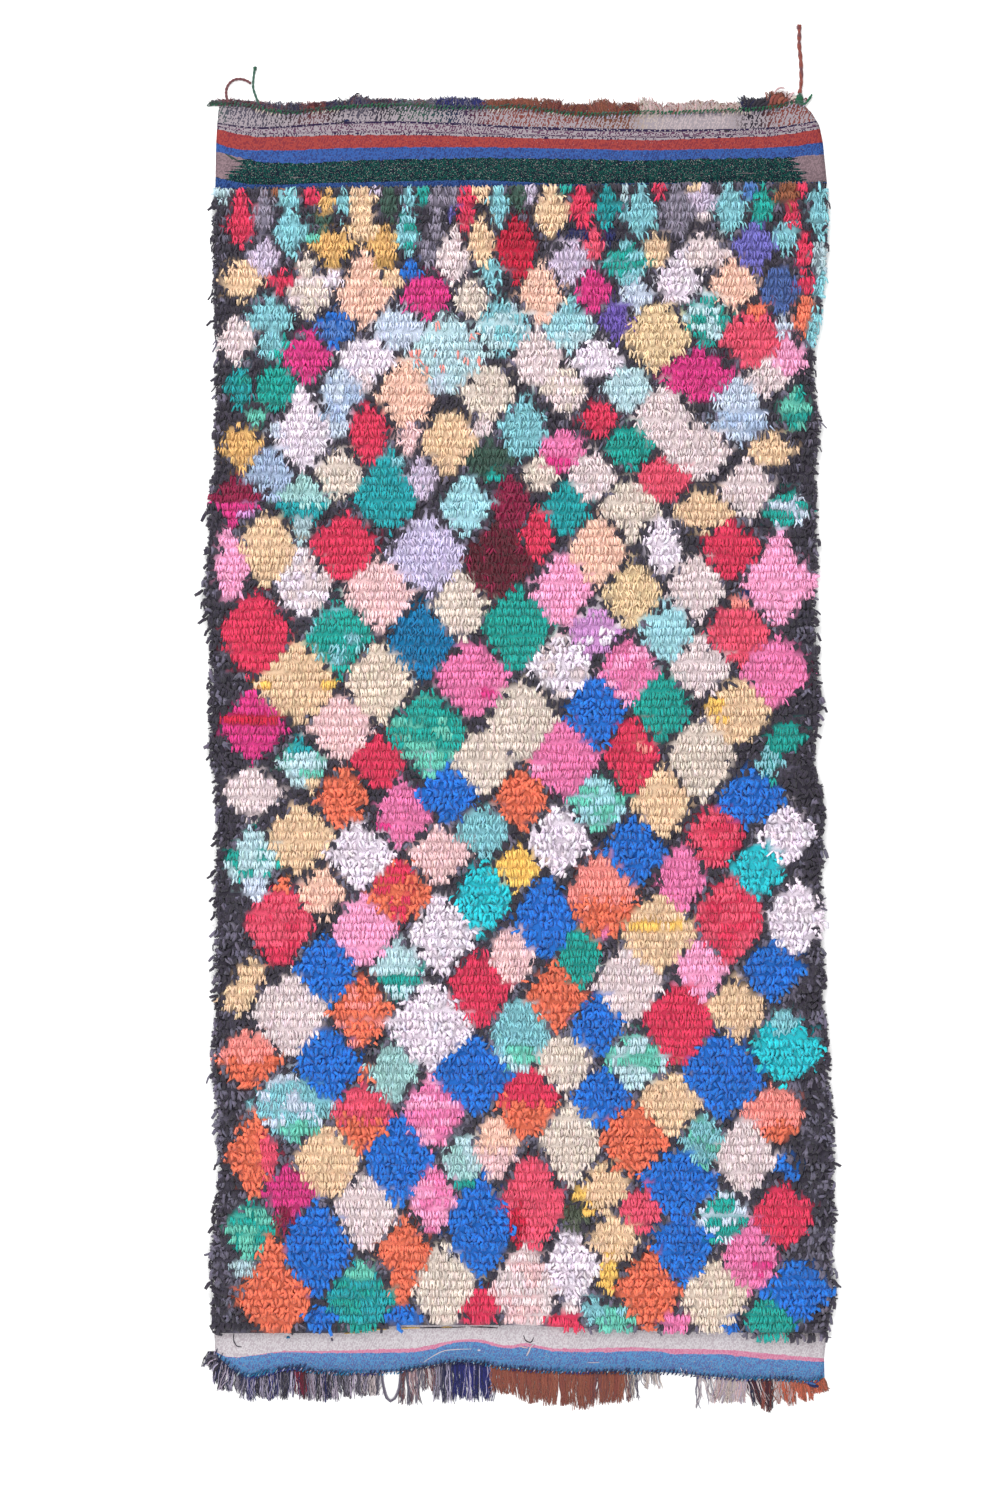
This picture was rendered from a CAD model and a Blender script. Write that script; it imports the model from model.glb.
"""Dresses the boucherouite rug: rag pile in a chart of lozenges, striped ends, edges, fringe and ties.

Everything is in metres in the row frame: +Z up, +Y towards the end with the ties, the floor at 0. Places
that were read from the picture by eye are given in its pixels, and Plan turns them into metres.
"""

import logging
import math
from dataclasses import dataclass, field
from enum import Enum
from typing import NamedTuple

import bmesh
import bpy
import numpy as np
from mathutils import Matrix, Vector


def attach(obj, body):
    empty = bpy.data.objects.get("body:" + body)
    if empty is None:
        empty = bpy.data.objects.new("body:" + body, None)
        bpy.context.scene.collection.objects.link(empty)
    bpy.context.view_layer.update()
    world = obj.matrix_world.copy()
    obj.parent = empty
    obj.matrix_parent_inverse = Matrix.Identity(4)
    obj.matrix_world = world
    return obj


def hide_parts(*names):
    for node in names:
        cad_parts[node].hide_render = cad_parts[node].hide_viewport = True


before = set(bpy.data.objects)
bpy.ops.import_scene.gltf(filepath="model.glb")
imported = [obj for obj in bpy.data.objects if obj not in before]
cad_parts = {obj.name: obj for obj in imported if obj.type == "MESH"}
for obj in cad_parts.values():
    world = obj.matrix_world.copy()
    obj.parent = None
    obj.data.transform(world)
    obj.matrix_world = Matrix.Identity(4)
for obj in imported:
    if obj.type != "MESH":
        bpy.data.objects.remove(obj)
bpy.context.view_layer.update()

LOG = logging.getLogger("rug")
SEED = 11
Array = np.ndarray
Colour = tuple[float, float, float]

# Sizes that the solids have too
WEAVE_THICK = 0.003
PILE_CLEAR = 0.0034
TIE_THICK = 0.0088
LOOP_THICK = 0.006
STRAND_THICK = 0.0055
# The cloth's two sides: metres along, then the left and the right side's metres across
SIDES = """
1.345 -0.642 0.598
1.328 -0.645 0.615
1.304 -0.647 0.630
1.270 -0.649 0.638
1.170 -0.651 0.648
-1.260 -0.653 0.648
-1.306 -0.651 0.641
-1.357 -0.600 0.642
"""
LOOP_ROUTE = (
    (-0.6222, 1.3470), (-0.6270, 1.3600), (-0.6280, 1.3730), (-0.6235, 1.3865),
    (-0.6120, 1.3965), (-0.5980, 1.3988), (-0.5855, 1.3955), (-0.5756, 1.3897),
)
STRAND_ROUTE = (
    (-0.5586, 1.3444), (-0.5650, 1.3620), (-0.5703, 1.3780),
    (-0.5707, 1.3907), (-0.5696, 1.4034), (-0.5671, 1.4225),
)
TIE_ROUTE = (
    (0.5890, 1.3683), (0.5920, 1.3865), (0.5925, 1.4077), (0.5915, 1.4374),
    (0.5883, 1.4692), (0.5884, 1.4930), (0.5884, 1.5137),
)
KNOT_MIDDLE = (0.5885, 1.3565, 0.0045)

# The twined line of the tied end: across and down in the picture
HEAD_TWINING = """
209 103.5 222 102.8 235 103 247 104.8 256 106.3 265 108.6 275 110.6 290 111.6 304 111
312 109.3 320 108.2 335 107 348 106 362 105 375 104.5 390 104 405 104 420 104.4 438 106
455 106.6 483 106.6 497 106.4 509 105.3 520 105.6 530 106.6 544 109 558 110.8 572 112.6
586 113.8 600 113.2 615 112.8 630 112 648 111.6 662 112 676 112 690 111 710 110.2 733 110
747 108.8 761 108 775 106 786 103.4 793 101.5 807 102
"""
FOOT_TWINING = """
214.5 1353.6 222 1363.5 231 1371.5 242 1379.6 254 1379.4 268 1376.8 280 1373.4 293 1372
305 1372.6 318 1374 343 1375.4 382 1375.2 403 1373 415 1370.6 429 1368.4 443 1365.4
457 1364.4 478 1365.6 488 1366.2 496 1368.8 514 1371 528 1372.2 556 1373.6 584 1374.2
612 1373.8 635 1373.9 660 1374.4 681 1375.8 696 1377.4 710 1378.8 731 1380.4 745 1381.4
766 1381.2 787 1381.8 808 1383.6 818 1382.4 825 1379.5
"""

# The pile's rim, read every few rows: height in the picture, then the left or the right side
LEFT_RIM = """
186 214 195 212 213 213 225 212 262 213 300 213 325 215 370 217 390 217 405 217 420 213 460 215 475 212
500 208 513 206 535 210 547 205 560 206 580 204 605 202 625 209 655 210 725 209 745 208 780 214 825 217
850 216 895 215 925 216 960 214 1010 216 1045 212 1075 211 1100 216 1125 215 1150 218 1175 218 1195 219
1213 214 1255 210 1285 211 1325 213 1336 214
"""
RIGHT_RIM = """
186 828 243 828 275 826 305 823 320 820 335 816 375 813 400 817 415 821 430 819 475 816 505 817 560 818
577 818 620 815 650 818 670 819 690 822 710 822 735 816 770 816 790 823 828 825 865 822 890 822 908 826
930 821 976 826 1000 823 1029 828 1055 831 1080 828 1097 833 1125 833 1160 834 1188 834 1210 837 1235 834
1250 831 1280 835 1300 836 1328 829 1341 833
"""
# Yarn colours as they look, in hundredths of red, green and blue, and the kind of rag
YARNS = """
milk 91 86 91 flap
shell 88 81 82 strip
cream 87 81 77 strip
snow 75 80 86 slim
ice 78 82 89 strip
mist 66 75 78 strip
sand 88 81 75 strip
tan 90 79 64 slim
straw 90 77 64 strip
yellow 94 76 40 strip
honey 87 69 44 slim
mustard 74 58 34 slim
peach 94 77 70 strip
blush 92 77 78 strip
salmon 94 57 54 strip
coral 93 49 38 strip
orange 88 44 33 flap
red 84 21 35 strip
rose 88 32 43 strip
crimson 74 11 24 strip
wine 54 10 26 slim
maroon 36 11 17 slim
magenta 82 21 51 strip
hotpink 90 48 68 strip
pink 96 65 80 strip
orchid 80 57 80 strip
lilac 79 73 82 slim
lavender 80 76 88 slim
violet 44 42 73 slim
purple 43 34 67 slim
powder 65 72 83 strip
aqua 52 76 80 slim
skyaqua 64 83 87 strip
frost 73 84 87 strip
seafoam 64 80 80 slim
mint 40 75 68 strip
emerald 9 62 58 strip
jade 12 61 64 strip
teal 10 60 62 strip
turquoise 14 74 79 flap
petrol 4 46 66 slim
royal 12 43 79 flap
blue 31 48 74 slim
cobalt 28 38 61 slim
navy 11 13 33 slim
indigo 14 16 50 slim
forest 22 33 29 slim
olive 30 33 27 slim
grey 54 51 58 slim
slate 38 36 43 flap
charcoal 20 18 23 flap
brown 54 32 22 slim
rust 66 38 30 slim
moss 26 42 36 slim
leaf 11 43 29 slim
mauve 50 30 32 slim
brick 60 31 27 slim
"""
# Each lozenge's middle and half sizes in the picture, and its yarns: + streaks, > below, * specks
CHART = """
223 195 12 9 mist
241 226 15 27 red
240 200 9 12 red
263 212 14 25 grey
276 194 6 8 brown
291 232 19 31 aqua
289 200 10 14 aqua
314 238 8 8 mint
311 197 11 10 red
328 204 8 17 honey
315 215 8 6 forest
324 223 12 8 forest
342 204 7 17 aqua
361 204 15 18 straw
362 230 19 19 straw
376 189 5 6 lilac
390 204 10 17 forest
409 198 9 12 aqua
424 195 8 9 emerald
408 234 14 28 aqua+emerald
439 202 11 15 grey
453 196 7 10 grey
437 230 8 15 grey
428 252 8 15 grey
466 207 10 27 red
481 195 10 10 straw
498 206 10 22 aqua
451 214 6 6 violet
519 200 12 13 forest
453 259 18 33 shell
481 243 16 29 straw
516 250 22 39 crimson
265 260 20 22 lilac
332 247 26 19 honey
335 268 12 8 mustard
384 246 17 25 honey
385 264 9 11 mustard
241 282 25 24 straw
282 282 12 11 red
308 294 26 28 shell+cream
306 266 11 12 cream
333 279 11 10 milk
364 296 32 36 peach
364 266 14 14 peach
392 279 15 10 straw
411 272 11 10 royal
426 297 27 26 magenta
492 275 10 18 aqua
472 300 20 23 cream
541 295 27 33 peach
271 320 27 25 aqua
277 350 10 14 aqua+emerald
270 349 14 14 aqua
286 341 8 6 emerald
237 340 21 27 shell
334 329 24 20 blue+royal
399 330 31 25 ice
307 358 27 31 magenta
366 360 34 27 milk
448 354 46 41 frost*salmon
503 328 30 34 frost+aqua
240 388 15 26 teal+emerald
277 389 26 28 emerald
257 419 12 9 mint
342 392 26 28 ice+powder
334 416 13 11 powder
406 396 34 38 peach
488 394 32 32 cream
367 385 11 9 shell
437 386 10 12 snow
532 193 7 10 lilac
552 216 21 27 straw
551 195 9 12 straw
567 190 7 8 emerald
582 208 15 24 red
607 210 14 26 teal
624 194 8 9 mist
640 216 18 27 aqua
641 195 9 12 aqua
660 192 9 8 red
678 212 21 29 grey
695 187 6 5 straw
703 200 14 17 lilac
704 218 8 5 shell
730 211 20 28 aqua
749 191 8 10 blue
762 208 13 26 emerald
787 195 14 13 brown
793 216 9 17 red
802 190 8 8 red
805 254 9 24 red
807 285 9 10 red
806 318 13 21 coral
819 214 9 33 aqua
819 256 9 20 mist
821 288 8 14 aqua
811 325 12 21 aqua
755 247 24 28 violet
785 240 12 18 aqua
571 263 23 29 lilac
594 246 9 16 rose
558 238 8 7 navy
580 237 13 7 navy
610 239 8 8 navy
627 264 25 27 emerald+aqua
656 252 17 20 straw
704 254 26 21 shell
678 284 26 28 milk
678 260 10 8 milk
734 286 28 27 peach
780 291 24 28 cobalt
593 292 20 27 magenta
636 296 20 19 ice
616 321 18 24 purple
569 329 29 28 skyaqua+frost
572 306 12 9 aqua
657 338 38 37 tan
707 321 26 30 emerald+frost
752 339 36 33 rose
756 310 10 10 coral
784 328 10 11 ice
790 359 20 22 pink
537 361 28 34 shell
597 361 32 22 milk
564 391 27 29 shell+cream
627 389 28 27 frost
662 418 32 34 shell
698 377 43 28 magenta
767 380 27 20 shell
736 402 26 27 ice
739 424 33 24 powder+ice
795 410 17 28 mint+emerald
304 436 32 40 milk
301 402 12 14 milk
241 448 23 26 honey
275 431 10 9 ice
338 429 11 14 ice
270 475 26 28 powder
340 476 27 28 cream
369 435 23 33 red
409 438 15 23 blush
449 444 31 38 straw
483 429 12 14 shell
490 462 27 23 forest
495 478 10 6 emerald
523 430 27 36 aqua
236 500 29 24 wine>magenta
232 520 8 8 magenta
244 512 12 6 orchid
303 503 31 29 seafoam>jade
302 530 12 16 mist
388 499 39 38 jade
390 466 17 20 jade+aqua
421 481 20 24 lilac
466 506 27 34 skyaqua
511 504 23 33 wine
267 549 34 40 straw
231 570 20 36 pink
227 541 9 12 pink
344 548 35 38 red
428 556 43 44 lavender
498 564 39 44 maroon*wine
303 586 32 39 shell+milk
379 595 37 41 blush
461 606 32 36 cream
255 636 40 47 red
339 638 36 42 emerald+aqua
420 643 37 42 petrol
517 628 39 47 emerald
564 451 27 23 hotpink
558 462 12 12 magenta
599 421 20 24 red
629 449 30 23 emerald
698 453 39 31 shell
772 451 28 20 straw
540 475 21 23 cream
592 478 28 28 shell
663 481 30 28 rose
630 508 33 31 cream
632 536 10 11 cream
566 511 25 32 teal
703 513 32 24 straw
747 490 29 35 shell
787 511 27 24 emerald+ice
538 537 19 31 red
597 553 32 38 peach
664 547 23 35 milk
730 552 32 33 red
778 585 41 44 pink
778 550 14 18 pink
695 590 34 36 shell
562 592 34 42 pink
632 596 32 37 tan
740 603 10 8 salmon
745 594 6 4 navy
595 632 30 29 orchid+milk
666 635 30 33 skyaqua
737 634 37 35 rose
297 686 43 45 straw
268 688 13 6 yellow
330 684 13 6 yellow
380 684 38 44 sand
474 681 42 42 hotpink
485 693 10 5 magenta
253 728 35 39 magenta
253 720 32 6 crimson
341 730 35 37 blush
427 734 43 46 emerald+mint
430 760 22 20 mint+frost
522 720 38 44 cream
482 764 35 37 cream
302 766 29 27 frost+mint
300 748 12 9 jade
379 763 32 30 red
253 795 33 30 shell
313 786 10 8 straw
343 801 30 35 orange
402 815 29 38 hotpink
403 822 36 15 hotpink+magenta
448 796 35 33 royal
521 801 30 34 orange
299 840 39 38 straw
483 832 32 28 aqua
360 857 38 36 milk
440 856 35 32 blush
252 862 30 38 frost+emerald
256 886 14 18 ice
561 668 36 36 milk+shell
629 673 35 36 hotpink+pink
700 668 33 34 shell
777 672 37 40 hotpink
596 714 35 38 royal
662 708 35 38 emerald
738 714 37 37 straw
718 706 13 8 yellow
725 722 12 6 yellow
565 760 38 44 hotpink
541 770 12 10 hotpink+pink
632 757 31 42 red
642 745 16 8 salmon
701 759 38 45 cream
786 739 22 20 emerald
770 765 17 22 emerald+aqua
750 800 38 31 royal
598 804 33 33 skyaqua+mint
662 804 33 40 straw
558 843 36 38 milk
634 853 35 38 royal
715 838 33 35 rose+red
787 836 33 33 milk
757 872 30 31 turquoise
681 880 27 38 hotpink
518 868 25 26 yellow
323 894 26 29 peach
280 925 39 44 rose+red
284 886 9 9 orange
280 955 18 12 red
364 932 37 40 pink
399 894 35 37 orange+red
399 873 15 12 red
441 936 37 41 milk
483 900 31 42 turquoise
545 920 37 46 royal
602 900 41 49 salmon>orange
603 932 8 7 hotpink
658 935 41 44 straw
655 928 30 6 yellow
730 920 40 49 rose+red
795 921 33 42 milk
326 971 34 38 royal
251 975 19 21 straw
238 1000 18 20 straw
399 972 29 34 frost+emerald
479 991 34 43 red
511 959 27 35 blush
291 1015 42 48 shell
362 1014 33 40 orange+salmon
431 1027 47 48 milk
520 1034 33 41 aqua
519 1058 20 16 mint+frost
249 1060 35 32 salmon>orange
328 1067 38 40 royal
392 1074 28 33 seafoam
475 1078 43 44 royal
290 1108 46 39 aqua+ice
296 1128 28 16 mint
432 1114 34 41 hotpink+pink
363 1119 36 37 rose>orange
526 1103 36 42 red>orange
364 1075 6 12 orange
579 959 25 35 emerald
701 972 30 34 pink
773 971 34 34 royal
627 985 40 41 shell
555 998 33 38 orange
597 1027 29 35 royal
679 1024 40 47 red
736 1011 32 34 straw
786 1051 40 38 turquoise
783 1024 15 14 aqua
565 1064 33 34 cream
636 1062 35 31 frost+mint
722 1078 46 46 royal
601 1100 33 34 royal
671 1105 34 37 straw
773 1112 36 28 salmon
781 1130 22 16 orange
253 1156 28 46 orange
266 1155 13 22 rose
327 1163 37 42 straw
398 1162 39 50 royal
463 1163 23 31 frost+seafoam
466 1184 10 9 emerald
495 1149 27 37 peach>blush
288 1194 32 28 magenta
285 1220 13 13 wine
367 1213 36 44 shell
433 1201 28 38 hotpink+pink
480 1228 38 57 royal
531 1204 36 56 rose
520 1216 14 44 crimson
251 1232 29 34 emerald+mint
244 1268 14 12 mist
317 1251 38 52 royal
275 1299 43 42 orange
272 1256 14 18 orange
404 1252 31 34 orange+coral
402 1282 13 24 orange
360 1301 39 38 jade+emerald
360 1274 14 11 mint
444 1287 36 46 cream
321 1322 21 17 royal
402 1320 23 17 royal
480 1310 23 24 red
525 1292 38 54 shell+blush
571 1144 34 44 cream
633 1142 37 41 orange
678 1184 43 38 royal
681 1248 34 42 royal
703 1143 24 33 aqua+mint
745 1158 34 44 shell
783 1166 10 9 royal
793 1175 10 8 royal
605 1188 27 28 straw
579 1197 9 10 yellow
589 1212 7 8 yellow
642 1211 25 26 rose
573 1218 16 15 olive
722 1218 31 30 emerald+ice
783 1217 34 36 red
613 1241 29 28 straw
608 1276 11 20 yellow
571 1269 31 41 milk
751 1260 32 39 hotpink
758 1266 16 10 magenta
648 1292 34 46 orange
714 1300 37 42 sand
797 1293 38 37 royal
561 1326 20 14 red
592 1311 11 14 aqua
614 1321 26 19 mint+aqua
677 1324 17 13 hotpink
731 1335 12 11 royal
771 1322 30 31 emerald
572 1307 9 6 shell
"""


class Plan:
    """Where places in the picture lie on the floor."""

    STEP = 0.00212
    MIDDLE = (522.0, 738.0)

    @classmethod
    def across(cls, x: Array | float) -> Array:
        """Metres to the right of the origin for a place in the picture."""
        return (np.asarray(x, dtype=float) - cls.MIDDLE[0]) * cls.STEP

    @classmethod
    def along(cls, y: Array | float) -> Array:
        """Metres towards the tied end for a height in the picture."""
        return (cls.MIDDLE[1] - np.asarray(y, dtype=float)) * cls.STEP


@dataclass(frozen=True)
class HandLine:
    """A line read by eye at a few places, and straight between them."""

    places: Array
    values: Array

    @classmethod
    def read(cls, text: str, column: int = 1, columns: int = 2) -> "HandLine":
        """Reads a column of a small table.

        Args:
            text: The table's numbers, row by row, the place first.
            column: The column to read.
            columns: How many columns the table has.

        Returns:
            The line, sorted by place.
        """
        rows = np.array(text.split(), dtype=float).reshape(-1, columns)
        rows = rows[np.argsort(rows[:, 0], kind="stable")]
        return cls(rows[:, 0], rows[:, column])

    def at(self, place: Array | float) -> Array:
        """The line's value at one or many places."""
        return np.interp(place, self.places, self.values)


SIDE_LEFT = HandLine.read(SIDES, 1, 3)
SIDE_RIGHT = HandLine.read(SIDES, 2, 3)
HEAD = HandLine.read(HEAD_TWINING)
FOOT = HandLine.read(FOOT_TWINING)
RIM_LEFT = HandLine.read(LEFT_RIM)
RIM_RIGHT = HandLine.read(RIGHT_RIM)


def as_light(colour: Array) -> Array:
    """Turns colours as they look into the amounts of light that materials take."""
    colour = np.clip(np.asarray(colour, dtype=float), 0.0, 1.0)
    return np.where(colour <= 0.04045, colour / 12.92, ((colour + 0.055) / 1.055) ** 2.4)


class RagCut(NamedTuple):
    """How a rag of one kind is cut and how it falls."""

    per_knot: int
    long: float
    wide: float
    thick: float
    rise: float
    splay: float
    uneven: float


class RagKind(Enum):
    """The kinds of rag in the pile."""

    SLIM = RagCut(per_knot=3, long=0.0215, wide=0.0040, thick=0.0024, rise=0.0082, splay=21.0, uneven=0.15)
    STRIP = RagCut(per_knot=3, long=0.0208, wide=0.0046, thick=0.0024, rise=0.0080, splay=15.0, uneven=0.09)
    FLAP = RagCut(per_knot=2, long=0.0200, wide=0.0080, thick=0.0032, rise=0.0085, splay=32.0, uneven=0.17)


class Yarn(NamedTuple):
    """A yarn or rag: its name, its colour as it looks and the kind of rag."""

    name: str
    colour: Colour
    kind: RagKind


def read_yarns(text: str) -> list[Yarn]:
    """Reads the table of yarns."""
    yarns = []
    for line in text.strip().splitlines():
        name, red, green, blue, kind = line.split()
        colour = (int(red) / 100, int(green) / 100, int(blue) / 100)
        yarns.append(Yarn(name, colour, RagKind[kind.upper()]))
    return yarns


# Rags shade one another, so what lies open to the lights is dyed darker to look the same
OPEN_SHADE = 0.56
CURVE_STEPS = 24
ALL_YARNS = read_yarns(YARNS)
YARN_NUMBER = {yarn.name: number for number, yarn in enumerate(ALL_YARNS)}
YARN_LIGHT = as_light([yarn.colour for yarn in ALL_YARNS])


def yarn_light(*names: str) -> Array:
    """The light that each named yarn gives back where it lies in the open, one row a name."""
    return YARN_LIGHT[[YARN_NUMBER[name] for name in names]] * OPEN_SHADE


class Mixing(Enum):
    """How a lozenge's second yarn joins the first."""

    NONE = 0
    STREAKS = 1
    BELOW = 2
    SPECKS = 3


class Lozenge(NamedTuple):
    """One lozenge of the chart: its middle and half sizes in the picture, and its yarns."""

    x: float
    y: float
    wide: float
    high: float
    yarn: int
    second: int
    mixing: Mixing


@dataclass
class Chart:
    """The chart that the rug is knotted from."""

    lozenges: list[Lozenge] = field(default_factory=list)
    roundness: float = 1.23
    ragged: float = 0.05
    rim: float = 0.955
    trim: float = 1.0
    streak_share: float = 0.38
    speck_edge: float = 0.12
    furthest: float = 1.15
    small_below: float = 330.0
    small_pull: float = 0.5
    slate_least: float = 0.16
    slate_more: float = 0.50
    slate_from: float = 760.0
    slate_grows: float = 340.0
    dark_rows: tuple[float, float] = (575.0, 800.0)
    dark_share: float = 0.12

    @classmethod
    def read(cls, text: str) -> "Chart":
        """Reads the hand-made chart, one lozenge a line."""
        marks = {"+": Mixing.STREAKS, ">": Mixing.BELOW, "*": Mixing.SPECKS}
        lozenges = []
        for line in text.strip().splitlines():
            x, y, wide, high, names = line.split()
            mark = next((m for m in marks if m in names), None)
            first, second = names.split(mark) if mark else (names, names)
            mixing = marks[mark] if mark else Mixing.NONE
            lozenges.append(Lozenge(float(x), float(y), float(wide), float(high),
                                    YARN_NUMBER[first], YARN_NUMBER[second], mixing))
        return cls(lozenges)

    def ground(self, x: Array, y: Array, dice: np.random.Generator) -> Array:
        """Picks the dark yarn that fills the gaps between lozenges, and the two borders.

        Args:
            x: Places across, in the picture.
            y: Places down, in the picture.
            dice: The source of chance.

        Returns:
            A yarn number a place.
        """
        tide = 0.5 + 0.28 * np.sin(y / 61 + x / 170) + 0.22 * np.sin(y / 23 - x / 90)
        more = self.slate_more * np.clip((y - self.slate_from) / self.slate_grows, 0, 1)
        first, last = self.dark_rows
        share = np.where((y > first) & (y < last), self.dark_share, self.slate_least + more * tide)
        return np.where(dice.random(x.shape) < share, YARN_NUMBER["slate"], YARN_NUMBER["charcoal"])

    def yarn_at(self, x: Array, y: Array, dice: np.random.Generator) -> Array:
        """Picks the yarn of each knot.

        Args:
            x: The knots' places across, in the picture.
            y: Their places down.
            dice: The source of chance.

        Returns:
            A yarn number a knot.
        """
        chosen = self.ground(x, y, dice)
        nearest = self.rim + dice.normal(0, self.ragged, x.shape)
        lots = dice.random((4096,))
        cell = (np.floor(x / 15) * 131 + np.floor(y / 9) * 57).astype(int) % lots.size
        streak = lots[cell]
        edge = dice.normal(0, 0.10, x.shape)
        for loz in self.lozenges:
            near = np.abs(x - loz.x) < loz.wide * self.furthest
            near &= np.abs(y - loz.y) < loz.high * self.furthest
            dx = np.abs(x[near] - loz.x) / (loz.wide - self.trim)
            dy = (y[near] - loz.y) / (loz.high - self.trim)
            reach = dx**self.roundness + np.abs(dy) ** self.roundness
            yarn = np.full(reach.shape, loz.yarn)
            if loz.mixing is Mixing.STREAKS:
                yarn = np.where(streak[near] < self.streak_share, loz.second, yarn)
            elif loz.mixing is Mixing.BELOW:
                yarn = np.where(dy > 0.05 + edge[near], loz.second, yarn)
            elif loz.mixing is Mixing.SPECKS:
                yarn = np.where(edge[near] > self.speck_edge, loz.second, yarn)
            pull = self.small_pull if loz.wide * loz.high < self.small_below else 1.0
            mine = (reach * pull < nearest[near]) & (reach < self.furthest)
            spots = np.flatnonzero(near)[mine]
            chosen[spots] = yarn[mine]
            nearest[spots] = (reach * pull)[mine]
        return chosen


@dataclass(frozen=True)
class Stencil:
    """A small closed shape that is repeated many times: its points and its faces."""

    points: Array
    corners: Array
    counts: Array

    @classmethod
    def of(cls, bm: bmesh.types.BMesh) -> "Stencil":
        """Takes the shape that a bmesh holds, and frees the bmesh."""
        bmesh.ops.recalc_face_normals(bm, faces=bm.faces)
        bm.verts.index_update()
        points = np.array([vert.co[:] for vert in bm.verts])
        faces = [[vert.index for vert in face.verts] for face in bm.faces]
        bm.free()
        return cls(points, np.array([c for face in faces for c in face]), np.array([len(f) for f in faces]))

    @classmethod
    def stave(cls, sides: int, stretches: int, turn: float = 0.0) -> "Stencil":
        """A straight stave of radius 1 from height 0 to 1, cut across into even stretches.

        Args:
            sides: How many sides it has.
            stretches: How many stretches its length is cut into.
            turn: How far its corners are turned round, in radians.

        Returns:
            The stave.
        """
        bm = bmesh.new()
        bmesh.ops.create_cone(bm, cap_ends=True, cap_tris=False, segments=sides,
                              radius1=1, radius2=1, depth=1)
        bmesh.ops.translate(bm, vec=(0, 0, 0.5), verts=bm.verts)
        for cut in range(1, stretches):
            bmesh.ops.bisect_plane(bm, geom=bm.verts[:] + bm.edges[:] + bm.faces[:],
                                   plane_co=(0, 0, cut / stretches), plane_no=(0, 0, 1))
        cosine, sine = math.cos(turn), math.sin(turn)
        for vert in bm.verts:
            x, y = vert.co.x, vert.co.y
            vert.co.x, vert.co.y = x * cosine - y * sine, x * sine + y * cosine
        return cls.of(bm)

    @classmethod
    def bead(cls, around: int, rings: int) -> "Stencil":
        """A ball of radius 1."""
        bm = bmesh.new()
        bmesh.ops.create_uvsphere(bm, u_segments=around, v_segments=rings, radius=1)
        return cls.of(bm)


def joined(name: str, stencil: Stencil, points: Array, light: Array) -> bpy.types.Object:
    """Makes one mesh of many copies of a shape.

    Args:
        name: The piece's name.
        stencil: The repeated shape.
        points: Where each copy's points lie, as copies by points by 3.
        light: The yarn colour of each copy, or of each of its points.

    Returns:
        The piece, linked to the scene.
    """
    copies, count = points.shape[:2]
    if light.ndim == 2:
        light = np.repeat(light[:, None, :], count, axis=1)
    corners = (stencil.corners[None, :] + (np.arange(copies) * count)[:, None]).ravel()
    starts = np.concatenate([[0], np.cumsum(np.tile(stencil.counts, copies))[:-1]])
    mesh = bpy.data.meshes.new(name)
    mesh.vertices.add(copies * count)
    mesh.vertices.foreach_set("co", points.reshape(-1).astype(np.float32))
    mesh.loops.add(corners.size)
    mesh.loops.foreach_set("vertex_index", corners.astype(np.int32))
    mesh.polygons.add(starts.size)
    mesh.polygons.foreach_set("loop_start", starts.astype(np.int32))
    mesh.update(calc_edges=True)
    mesh.validate()
    shade_smooth(mesh)
    dye(mesh, light.reshape(-1, 3))
    obj = bpy.data.objects.new(name, mesh)
    bpy.context.scene.collection.objects.link(obj)
    return obj


def shade_smooth(mesh: bpy.types.Mesh) -> None:
    """Shades every face of a mesh smooth."""
    mesh.polygons.foreach_set("use_smooth", np.ones(len(mesh.polygons), dtype=bool))


def dye(mesh: bpy.types.Mesh, light: Array) -> None:
    """Writes a yarn colour on each point of a mesh."""
    layer = mesh.color_attributes.new("yarn", "FLOAT_COLOR", "POINT")
    solid = np.concatenate([np.clip(light, 0, 1), np.ones((len(light), 1))], axis=1)
    layer.data.foreach_set("color", solid.astype(np.float32).ravel())


def shaped(name: str, bm: bmesh.types.BMesh) -> bpy.types.Object:
    """Makes a linked object of a bmesh and frees the bmesh."""
    mesh = bpy.data.meshes.new(name)
    bm.to_mesh(mesh)
    bm.free()
    shade_smooth(mesh)
    obj = bpy.data.objects.new(name, mesh)
    bpy.context.scene.collection.objects.link(obj)
    return obj


def smooth_route(points: tuple[tuple[float, float], ...], high: float, step: float) -> Array:
    """Points at even steps along a smooth curve through a cord's own points.

    Args:
        points: The cord's points across and along.
        high: The height of its middle line.
        step: The distance between the new points.

    Returns:
        The new points, one row each.
    """
    ends = [Vector((x, y, high)) for x, y in points]
    ends = [2 * ends[0] - ends[1], *ends, 2 * ends[-1] - ends[-2]]
    fine = []
    for a, b, c, d in zip(ends, ends[1:], ends[2:], ends[3:]):
        for i in range(CURVE_STEPS):
            t = i / CURVE_STEPS
            fine.append(0.5 * (2 * b + (c - a) * t + (2 * a - 5 * b + 4 * c - d) * t**2
                               + (3 * b - a - 3 * c + d) * t**3))
    fine.append(ends[-2])
    line = np.array([p[:] for p in fine])
    gone = np.concatenate([[0], np.cumsum(np.linalg.norm(np.diff(line, axis=0), axis=1))])
    places = np.linspace(0, gone[-1], max(3, round(gone[-1] / step) + 1))
    return np.stack([np.interp(places, gone, line[:, k]) for k in range(3)], axis=1)


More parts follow.
